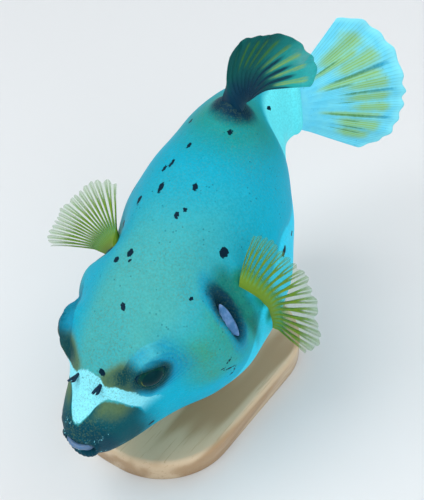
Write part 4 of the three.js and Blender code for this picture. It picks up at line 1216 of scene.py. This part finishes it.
def fan_frame(plan, t):
    """Roots, ways, lengths and curl of a fin's rays at places t from its first ray to its last."""
    if "side" in plan:
        place = SIDE_FIN_PLACE
        roots = flesh(place, mirrored(bow(plan["angles"], t), plan["side"]))
    else:
        place = plan["root"][1][0]
        roots = body_point(*np.moveaxis(bow(plan["root"], t), -1, 0))
    ways = body_direction(place, bow(plan["ways"], t))
    lengths = BODY_LENGTH * bow(plan["lengths"], t) * (1 - CORNER_ROUNDING * (2 * t - 1) ** 8)
    curl = body_direction(place, plan["curl"]) * np.linalg.norm(plan["curl"])
    return roots, ways, lengths[..., None], curl


def streaks(t, u, rows):
    """Strokes along the rays: a bell across the fan times a long smooth start and end along it."""
    total = np.zeros(np.broadcast(t, u).shape)
    for place, reach, start, end in rows:
        stroke = bell(t, place, reach) * smoothstep(u, start, start + 0.3)
        total = np.maximum(total, stroke * (1 - smoothstep(u, end - 0.16, end)))
    return total


def build_fin(name, plan, sizes, seed):
    """A fan of branching rays. A point lies on the ray's bowed line through its root. The membrane
    between rays waves from side to side, draws in at the edge, and thins from a fleshy root."""
    rng = np.random.default_rng(seed)
    rays = plan["rays"]
    t = np.linspace(0.0, 1.0, (rays - 1) * sizes.steps_between + 1)[:, None]
    roots, _, lengths, curl = fan_frame(plan, t)
    start = -FIN_ROOTED / lengths[..., 0]
    along = np.linspace(0.0, 1.0, sizes.steps_along + 1)[None, :]
    u = start + (1 - start) * along
    free = np.clip(u, 0, 1)
    phase = t * (rays - 1)
    aside = phase - np.round(phase)
    # Rays are a little unevenly spaced toward their tips.
    lean = np.interp(phase, np.arange(rays), rng.uniform(-1, 1, rays) * RAY_LEAN / (rays - 1))
    uneven = np.interp(phase, np.arange(rays), rng.uniform(-RAY_SHORTER, 0.0, rays))
    ends = (1 - np.cos(2 * np.pi * aside)) / 2
    gaps = rng.uniform(*GAP_DEPTHS, rays)[np.floor(phase).astype(int)]
    drawn = plan["scallop"] * sizes.scallop * gaps * ends
    reach = u * (1 + (uneven * plan["scallop"] - drawn) * free**4)
    shifted = np.clip(t + lean * free**2 * np.sin(np.pi * t), 0.0, 1.0)
    _, fanned, _, _ = fan_frame(plan, shifted)
    bent = curl * (reach * np.abs(reach))[..., None]
    centre = roots + fanned * (reach[..., None] * lengths) + bent * lengths
    side = unit(np.cross(np.gradient(centre, axis=1), np.gradient(centre, axis=0)))
    swing = rng.uniform(0, 6.28)
    ripple = sum(high * np.sin(2 * np.pi * waves * t + turns * swing) for waves, turns, high in RIPPLES)
    sag = ends * free * MEMBRANE_SAG
    centre = centre + side * (sizes.wave * free**2 * ripple + sag)[..., None]
    # A ray is one ridge that parts into two, and each of those into two again near the edge.
    part = sizes.branching * smoothstep(u, 0.35, 0.8)
    again = sizes.branching * 0.42 * smoothstep(u, 0.66, 1.0)
    width = RIDGE_WIDTH[0] - RIDGE_WIDTH[1] * smoothstep(u, 0.0, 0.9)
    ridge = bell(np.abs(np.abs(np.abs(aside) - part) - again), 0.0, width)
    joints = 1 - 0.16 * smoothstep(u, 0.3, 0.5) * (0.5 + 0.5 * np.cos(2 * np.pi * u * RAY_JOINTS))
    root_half = plan["thick"] * MM / 2
    plain = root_half + (sizes.membrane / 2 - root_half) * smoothstep(u, -0.02, plan["thinned"])
    taper = smoothstep(u, 0.02, 0.16) * (1 - 0.72 * free)
    half = plain + plan["relief"] * sizes.ray_height * ridge * taper * joints
    fields = {"ray": ridge, "reach": free, "fan": np.broadcast_to(t, u.shape)}
    if name == "caudal_fin":
        fields["streak"] = streaks(t, u, TAIL_STREAKS)
        fields["dark_line"] = streaks(t, u, TAIL_DARKS)
    elif "side" not in plan:
        between = 0.5 - 0.5 * np.cos(2 * np.pi * phase)
        stroke = between**1.5 * smoothstep(u, 0.26, 0.6) * (1 - smoothstep(u, 0.84, 1.0))
        fields["streak"] = stroke * smoothstep(t, 0.0, 0.3)
        fields["dark_line"] = (1 - between) ** 2 * smoothstep(t, 0.45, 0.75) * (1 - smoothstep(u, 0.55, 0.9))
    return plate(name + "_rays", centre, side * half[..., None], fields)


# ---- Eyes, beak, tentacles and gill flaps -------------------------------------------------------

def build_eye(word, centre, facing, long, across):
    """A ball with a slight bulge at its front: its radius grows by a bell over the angle from its
    axis."""
    angle, turn = np.linspace(0.004, math.pi - 0.004, 90)[:, None], circle(128)
    radius = (EYE_BALL - 0.25 * MM) * (1 + 0.035 * bell(angle, 0.0, 0.62))
    around = np.cos(turn)[..., None] * long + np.sin(turn)[..., None] * across
    front, aside = (radius * np.cos(angle))[..., None], (radius * np.sin(angle))[..., None]
    rings = centre + front * facing + aside * around
    gaze = unit(facing - 0.05 * across)
    axis = np.degrees(np.arccos(np.clip(unit(rings - centre) @ gaze, -1, 1)))
    low = np.broadcast_to(-np.sin(turn), axis.shape)
    return closed_tube("eyeball_" + word, rings, {"axis": axis, "low": low})


BEAK = {"half_width": 7.0, "half_depth": 6.2, "thick": 2.4, "height": 3.3, "opening": 0.3,
        "set_back": 3.6, "arc": (192.0, 348.0)}
BEAK_FORWARD = {1: 0.0, -1: -1.5}  # mm that each plate stands forward


def build_beak(name, side):
    """A curved plate: a rounded oblong section carried round half an oval, thinner toward its biting
    edge, with a groove down its middle and ends that taper away."""
    centre, left, back, up = (axis[0] for axis in spine_frame(np.zeros(1)))
    turn = np.radians(np.linspace(*BEAK["arc"], 72))[:, None]
    around, half = circle(28), BEAK["thick"] / 2
    ends = (1 - np.linspace(-1, 1, 72)[:, None] ** 6) ** 0.5 + 0.02
    across, over = (np.sign(way) * np.abs(way) ** 0.6 for way in (np.cos(around), np.sin(around)))
    edge = 1 - 0.35 * np.clip(-side * over, 0, 1)
    groove = 0.28 * bell(np.degrees(turn), 270.0, 2.6) * np.clip(across, 0, 1)
    proud = half * (across * edge * ends - 1) - groove
    height = side * (BEAK["opening"] + BEAK["height"]) / 2 + BEAK["height"] / 2 * over * ends
    aside = (BEAK["half_width"] + proud) * np.cos(turn)
    depth = BEAK["set_back"] - BEAK_FORWARD[side] + (BEAK["half_depth"] + proud) * np.sin(turn)
    points = aside[..., None] * left + depth[..., None] * back + height[..., None] * up
    return closed_tube(name, placed(points * MM + centre * BODY_LENGTH - MOUTH_DROP * up))


# In mm: the height over the skin, the depth of the root, and the stem's and the lobes' half widths.
TENTACLE = {"height": 5.3, "rooted": 1.4, "stem": 0.8, "spread": 0.55}


def build_tentacle(word, side):
    """A fleshy stalk that widens into two flat lobes: a thin sheet whose top edge has a deep notch,
    leaning forward and rolled a little about its length."""
    here, out, tail, _ = surface_frame(NOSTRIL_ALONG, mirrored(NOSTRIL_ANGLE, side))
    lean = unit(out - 0.62 * tail)
    across = unit(np.cross(tail, out))
    over = np.cross(across, lean)
    x = np.linspace(-1.0, 1.0, 41)[:, None]
    v = np.linspace(0.0, 1.0, 33)[None, :]
    notch = 0.34 * bell(x, 0.1, 0.16) + 0.1 * bell(x, -0.55, 0.12)
    top = TENTACLE["height"] * (1 - 0.22 * x**4 - notch - 0.16 * x)
    high = (top + TENTACLE["rooted"]) * v - TENTACLE["rooted"]
    sideways = (TENTACLE["stem"] + TENTACLE["spread"] * smoothstep(v, 0.2, 0.8)) * x
    curl = 0.11 * sideways**2 + 0.63 * v**2 * x + 0.5 * v**2
    thick = (0.85 - 0.5 * v) * np.sqrt(np.maximum(1 - 0.96 * x**2, 0.02)) * np.sqrt(1.02 - v**6)
    centre = here + MM * (sideways[..., None] * across + high[..., None] * lean + curl[..., None] * over)
    return plate("tentacle_" + word, centre, over * (thick * MM / 2)[..., None])


# In mm: the leaf's size, how deep it lies in the slit and how far below the slit's middle.
LEAF = {"half_length": 8.4, "half_width": 2.9, "half_thickness": 1.2, "sunk": 2.2, "below": 1.4}


def build_gill_flap(word, side):
    """A soft leaf down the slit: an oval section that swells and dies along a bowed middle line,
    with two shallow folds along its length."""
    here, long, out, forward = gill_frame(side)
    v, around = np.linspace(0.0, 1.0, 60)[:, None], circle(40)
    wide = LEAF["half_width"] * np.sin(np.pi * v) ** 0.7 + 0.02
    thick = LEAF["half_thickness"] * np.sin(np.pi * v) ** 0.5 + 0.02
    folds = 1 + 0.16 * np.cos(3 * around) + 0.05 * np.cos(7 * around + 9 * v)
    bend = 0.9 * np.cos(np.pi * (v - 0.5)) + 0.2
    ahead = wide * np.cos(around) * folds + bend
    proud = thick * np.sin(around) * folds - LEAF["sunk"] + bend * 0.4
    down = (1 - 2 * v) * LEAF["half_length"] - LEAF["below"]
    points = down[..., None] * long + proud[..., None] * out + ahead[..., None] * forward
    return closed_tube("gill_leaf_" + word, here + points * MM)


# ---- Stand --------------------------------------------------------------------------------------

# The base's foot: how far in from the side it lies, and at what heights.
FOOT_INWARD = (1.2 * MM, 0.5 * MM, 0.0)
FOOT_HEIGHTS = (0.0, 0.0, 0.6 * MM)
INNER_RINGS = (0.97, 0.8, 0.55, 0.3, 0.1)  # rings of the top and the underside, as shares of the edge
COLLAR_THROAT = 0.3 * MM  # what is left of the collar's width at its top
COLLAR_FOOT = 0.4 * MM  # height of its straight side
ROD_SUNK = 1 * MM
ROD_TIP = 0.4 * MM  # height over which the rod's end draws in


def turned_profile(centre, radii, heights, steps):
    """Rings of points: a profile of radius against height, turned round an upright axis."""
    radii, turn = np.asarray(radii)[:, None], circle(steps)
    x, y = centre[0] + radii * np.cos(turn), centre[1] + radii * np.sin(turn)
    return np.stack([x, y, np.broadcast_to(np.asarray(heights)[:, None], x.shape)], -1)


def rounded_outline(half_x, half_y, radius, steps):
    """Points round a rectangle with rounded corners, each the nearest corner's centre plus the
    radius along its outward direction, and those directions."""
    turn = circle(steps)[0] + np.pi / steps
    ways = np.stack([np.cos(turn), np.sin(turn)], -1)
    corner = np.sign(ways) * (np.array([half_x, half_y]) - radius)
    return corner + radius * ways, ways


def build_base(sizes):
    """The base: a profile of foot, side, rounded upper edge and flat top, carried round its outline
    and closed at the middle."""
    low, high, middle = box_of("stand_base")
    half, centre, height = (high - low)[:2] / 2, middle[:2], high[2]
    outline, ways = rounded_outline(half[0], half[1], sizes.corner, 240)
    arc = np.linspace(0.0, np.pi / 2, 9)
    inward = np.concatenate([FOOT_INWARD, sizes.edge * (1 - np.cos(arc))])
    heights = np.concatenate([FOOT_HEIGHTS, height - sizes.edge + sizes.edge * np.sin(arc)])
    rings = outline[None] - ways[None] * inward[:, None, None]
    rings = np.concatenate([rings, np.repeat(heights[:, None, None], rings.shape[1], 1)], -1)
    shrink = np.array(INNER_RINGS)[:, None, None]
    top = rings[-1][None] * np.concatenate([np.repeat(shrink, 2, 2), np.ones_like(shrink)], -1)
    foot = rings[0][None] * np.concatenate([np.repeat(shrink[::-1], 2, 2), np.ones_like(shrink)], -1)
    rings = np.concatenate([foot, rings, top])
    rings[..., :2] += centre
    return closed_tube("base_board", rings)


def build_rod(name, node, sizes, base_top):
    """A rod with a domed collar at its foot: a profile of radius against height, turned round."""
    low, high, centre = box_of(node)
    radius = (high - low)[0] / 2
    dome = np.linspace(0.0, np.pi / 2, 8)
    throat = radius + COLLAR_THROAT
    foot = base_top + COLLAR_FOOT
    radii = [radius, sizes.collar, sizes.collar, *(throat + (sizes.collar - throat) * np.cos(dome)),
             radius, radius, radius, radius * 0.9]
    heights = [base_top - ROD_SUNK, base_top - ROD_SUNK, foot,
               *(foot + (sizes.collar_height - COLLAR_FOOT) * np.sin(dome)),
               base_top + sizes.collar_height, (base_top + high[2]) / 2, high[2] - ROD_TIP, high[2]]
    return closed_tube(name, turned_profile(centre, radii, heights, 64))


# ---- Operators ----------------------------------------------------------------------------------

class PUFFER_OT_skin(bpy.types.Operator):
    """Builds the one skin of head, trunk and tail stalk"""
    bl_idname = "puffer.skin"
    bl_label = "Skin"

    def execute(self, context):
        sizes, looks = context.scene.puffer_skin, context.scene.puffer_colours
        shares, angles = skin_grid(sizes)
        lips = lip_rings(angles, sizes)
        body = skin_points(shares, angles, sizes)
        tail = tail_rings(angles, sizes)
        fields = skin_fields(body, shares, angles, sizes)
        whole = {}
        for field, values in fields.items():
            front = np.repeat(values[:1], len(lips), 0)
            rear = np.repeat(values[-1:], len(tail), 0)
            whole[field] = np.concatenate([front, values, rear])
        piece = closed_tube("skin", np.concatenate([lips, body, tail]), whole)
        finish_piece(piece, skin_material(looks), "skin", "head", "trunk_front", "trunk_rear", "tail_stalk")
        return {"FINISHED"}


class PUFFER_OT_fins(bpy.types.Operator):
    """Builds the five fins"""
    bl_idname = "puffer.fins"
    bl_label = "Fins"

    def execute(self, context):
        sizes, looks = context.scene.puffer_fins, context.scene.puffer_colours
        dark, side = dark_fin_material(looks), side_fin_material(looks)
        finishes = {
            "caudal_fin": (tail_fin_material(looks), "tail_fin"),
            "dorsal_fin": (dark, "dark_fin"),
            "anal_fin": (dark, "dark_fin"),
            "pectoral_fin_left": (side, "side_fin"),
            "pectoral_fin_right": (side, "side_fin"),
        }
        for seed, (name, plan) in enumerate({**MEDIAN_FINS, **SIDE_FINS}.items()):
            material, slot = finishes[name]
            shared = SIDE_RAYS if "side" in plan else MEDIAN_RAYS
            finish_piece(build_fin(name, {**shared, **plan}, sizes, seed), material, slot, name)
        return {"FINISHED"}


class PUFFER_OT_head_details(bpy.types.Operator):
    """Builds the eyes, beak, nasal tentacles and gill flaps"""
    bl_idname = "puffer.head_details"
    bl_label = "Eyes, beak, tentacles and gill flaps"

    def execute(self, context):
        looks = context.scene.puffer_colours
        eye = eye_material(looks)
        feeler = flesh_material("tentacle", looks.navy, looks.spot, 0.45, 0.0012)
        flap = flesh_material("gill_flap", looks.gill, looks.gill_pale, 0.5, 0.004)
        tooth = tooth_material(looks)
        for word, side, centre, facing, long, across in EYES:
            finish_piece(build_eye(word, centre, facing, long, across), eye, "eye", "eye_" + word)
            finish_piece(build_tentacle(word, side), feeler, "nostril", "nostril_" + word)
            finish_piece(build_gill_flap(word, side), flap, "gill_flap", "gill_flap_" + word)
        finish_piece(build_beak("beak_upper", 1), tooth, "tooth", "tooth_upper")
        finish_piece(build_beak("beak_lower", -1), tooth, "tooth", "tooth_lower")
        return {"FINISHED"}


class PUFFER_OT_stand(bpy.types.Operator):
    """Builds the display stand"""
    bl_idname = "puffer.stand"
    bl_label = "Stand"

    def execute(self, context):
        sizes, looks = context.scene.puffer_stand, context.scene.puffer_colours
        finish_piece(build_base(sizes), wood_material(looks), "base_wood", "stand_base")
        steel = steel_material(looks)
        base_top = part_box("stand_base")[1][2]
        for word in ("front", "rear"):
            node = "stand_rod_" + word
            finish_piece(build_rod("rod_" + word, node, sizes, base_top), steel, "rod_steel", node)
        return {"FINISHED"}


class PUFFER_OT_stage(bpy.types.Operator):
    """Sets the floor, the lights and the camera"""
    bl_idname = "puffer.stage"
    bl_label = "Studio"

    def execute(self, context):
        scene, stage = context.scene, context.scene.puffer_stage
        build_floor(scene.puffer_colours)
        place_camera(scene, stage)
        place_lights(scene, stage)
        scene.view_settings.view_transform = "Standard"
        return {"FINISHED"}


# ---- Studio -------------------------------------------------------------------------------------

LOOK_AT = np.array(MIDDLE)
LOOK_RIGHT = 7 * MM  # the view's middle lies this far right of and above that place
LOOK_UP = 2 * MM
# Place and size of each light.
LIGHTS = {"key": ((-0.42, -0.5, 1.05), 0.9), "fill": ((0.9, -0.5, 0.6), 1.1), "rim": ((0.2, 0.95, 0.8), 0.8)}
SKY_TINT = (0.93, 0.96, 1.0)
FLOOR_FLAT = 1.9  # radius of the level floor, and of the bend round it
FLOOR_BEND = 0.7
FLOOR_STEPS = 96


def build_floor(looks):
    """A round floor that curves up into a low wall: a profile turned round the middle."""
    bend = np.linspace(0.0, np.pi / 2, 13)[1:]
    edge = FLOOR_FLAT + FLOOR_BEND
    radii = [0.01, 0.2, 0.6, 1.2, FLOOR_FLAT, *(FLOOR_FLAT + FLOOR_BEND * np.sin(bend)), edge, edge]
    heights = [0.0] * 5 + [*(FLOOR_BEND * (1 - np.cos(bend))), 1.2, 1.8]
    rings = turned_profile((0.0, 0.0), radii, heights, FLOOR_STEPS)
    points = np.concatenate([rings.reshape(-1, 3), np.zeros((1, 3))])
    j = np.arange(FLOOR_STEPS)
    middle = np.stack([j, (j + 1) % FLOOR_STEPS, np.full(FLOOR_STEPS, len(points) - 1)], -1)
    floor = add_mesh("studio_floor", points, ring_faces(len(radii), FLOOR_STEPS), None, middle)
    floor.data.materials.append(floor_material(looks))
    floor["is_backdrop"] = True


def view_axes(azimuth, elevation):
    """Directions toward the camera, to its right and up, for a camera at that angle round the fish."""
    back = np.array([math.sin(azimuth) * math.cos(elevation), -math.cos(azimuth) * math.cos(elevation),
                     math.sin(elevation)])
    right = np.array([math.cos(azimuth), math.sin(azimuth), 0.0])
    return back, right, np.cross(back, right)


def place_camera(scene, stage):
    """A level camera that looks down at the fish from before its left side."""
    back, right, up = view_axes(stage.azimuth, stage.elevation)
    centre = LOOK_AT + right * LOOK_RIGHT + up * LOOK_UP
    data = bpy.data.cameras.new("camera")
    data.sensor_fit = "VERTICAL"
    data.sensor_height = 24.0
    data.lens = stage.lens
    data.clip_start = 0.01
    camera = bpy.data.objects.new("camera", data)
    camera.location = Vector(centre + back * stage.distance)
    camera.rotation_euler = Vector(back).to_track_quat("Z", "Y").to_euler()
    scene.collection.objects.link(camera)
    scene.camera = camera


def place_lights(scene, stage):
    """A large soft light above the head, a wide one opposite, one behind, and an even sky."""
    for name, (place, size) in LIGHTS.items():
        data = bpy.data.lights.new(name, "AREA")
        data.size = size
        data.energy = getattr(stage, name)
        light = bpy.data.objects.new(name, data)
        light.location = place
        light.rotation_euler = (light.location - Vector(LOOK_AT)).to_track_quat("Z", "Y").to_euler()
        scene.collection.objects.link(light)
    world = bpy.data.worlds.new("studio")
    world.use_nodes = True
    sky = world.node_tree.nodes["Background"]
    sky.inputs["Color"].default_value = opaque(SKY_TINT)
    sky.inputs["Strength"].default_value = stage.sky
    scene.world = world


# ---- Add-on -------------------------------------------------------------------------------------

STEPS = (PUFFER_OT_skin, PUFFER_OT_fins, PUFFER_OT_head_details, PUFFER_OT_stand, PUFFER_OT_stage)


class PUFFER_PT_panel(bpy.types.Panel):
    """Lists the steps that build the fish, and the settings they use"""
    bl_idname = "PUFFER_PT_panel"
    bl_label = "Pufferfish"
    bl_space_type = "VIEW_3D"
    bl_region_type = "UI"
    bl_category = "Pufferfish"

    def draw(self, context):
        for step in STEPS:
            self.layout.operator(step.bl_idname)
        for attribute, group in SETTINGS.items():
            box = self.layout.box()
            for field in group.__annotations__:
                box.prop(getattr(context.scene, attribute), field)


def register():
    for kind in (*SETTINGS.values(), *STEPS, PUFFER_PT_panel):
        bpy.utils.register_class(kind)
    for attribute, group in SETTINGS.items():
        setattr(bpy.types.Scene, attribute, PointerProperty(type=group))


def unregister():
    for attribute in SETTINGS:
        delattr(bpy.types.Scene, attribute)
    for kind in (PUFFER_PT_panel, *reversed(STEPS), *reversed(list(SETTINGS.values()))):
        bpy.utils.unregister_class(kind)


def main():
    register()
    bpy.ops.puffer.skin()
    bpy.ops.puffer.fins()
    bpy.ops.puffer.head_details()
    bpy.ops.puffer.stand()
    bpy.ops.puffer.stage()
    boxes = {"cad": CAD_BOX, "visual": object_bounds()}
    boxes = {name: [list(corner) for corner in box] for name, box in boxes.items()}


if __name__ == "__main__":
    main()
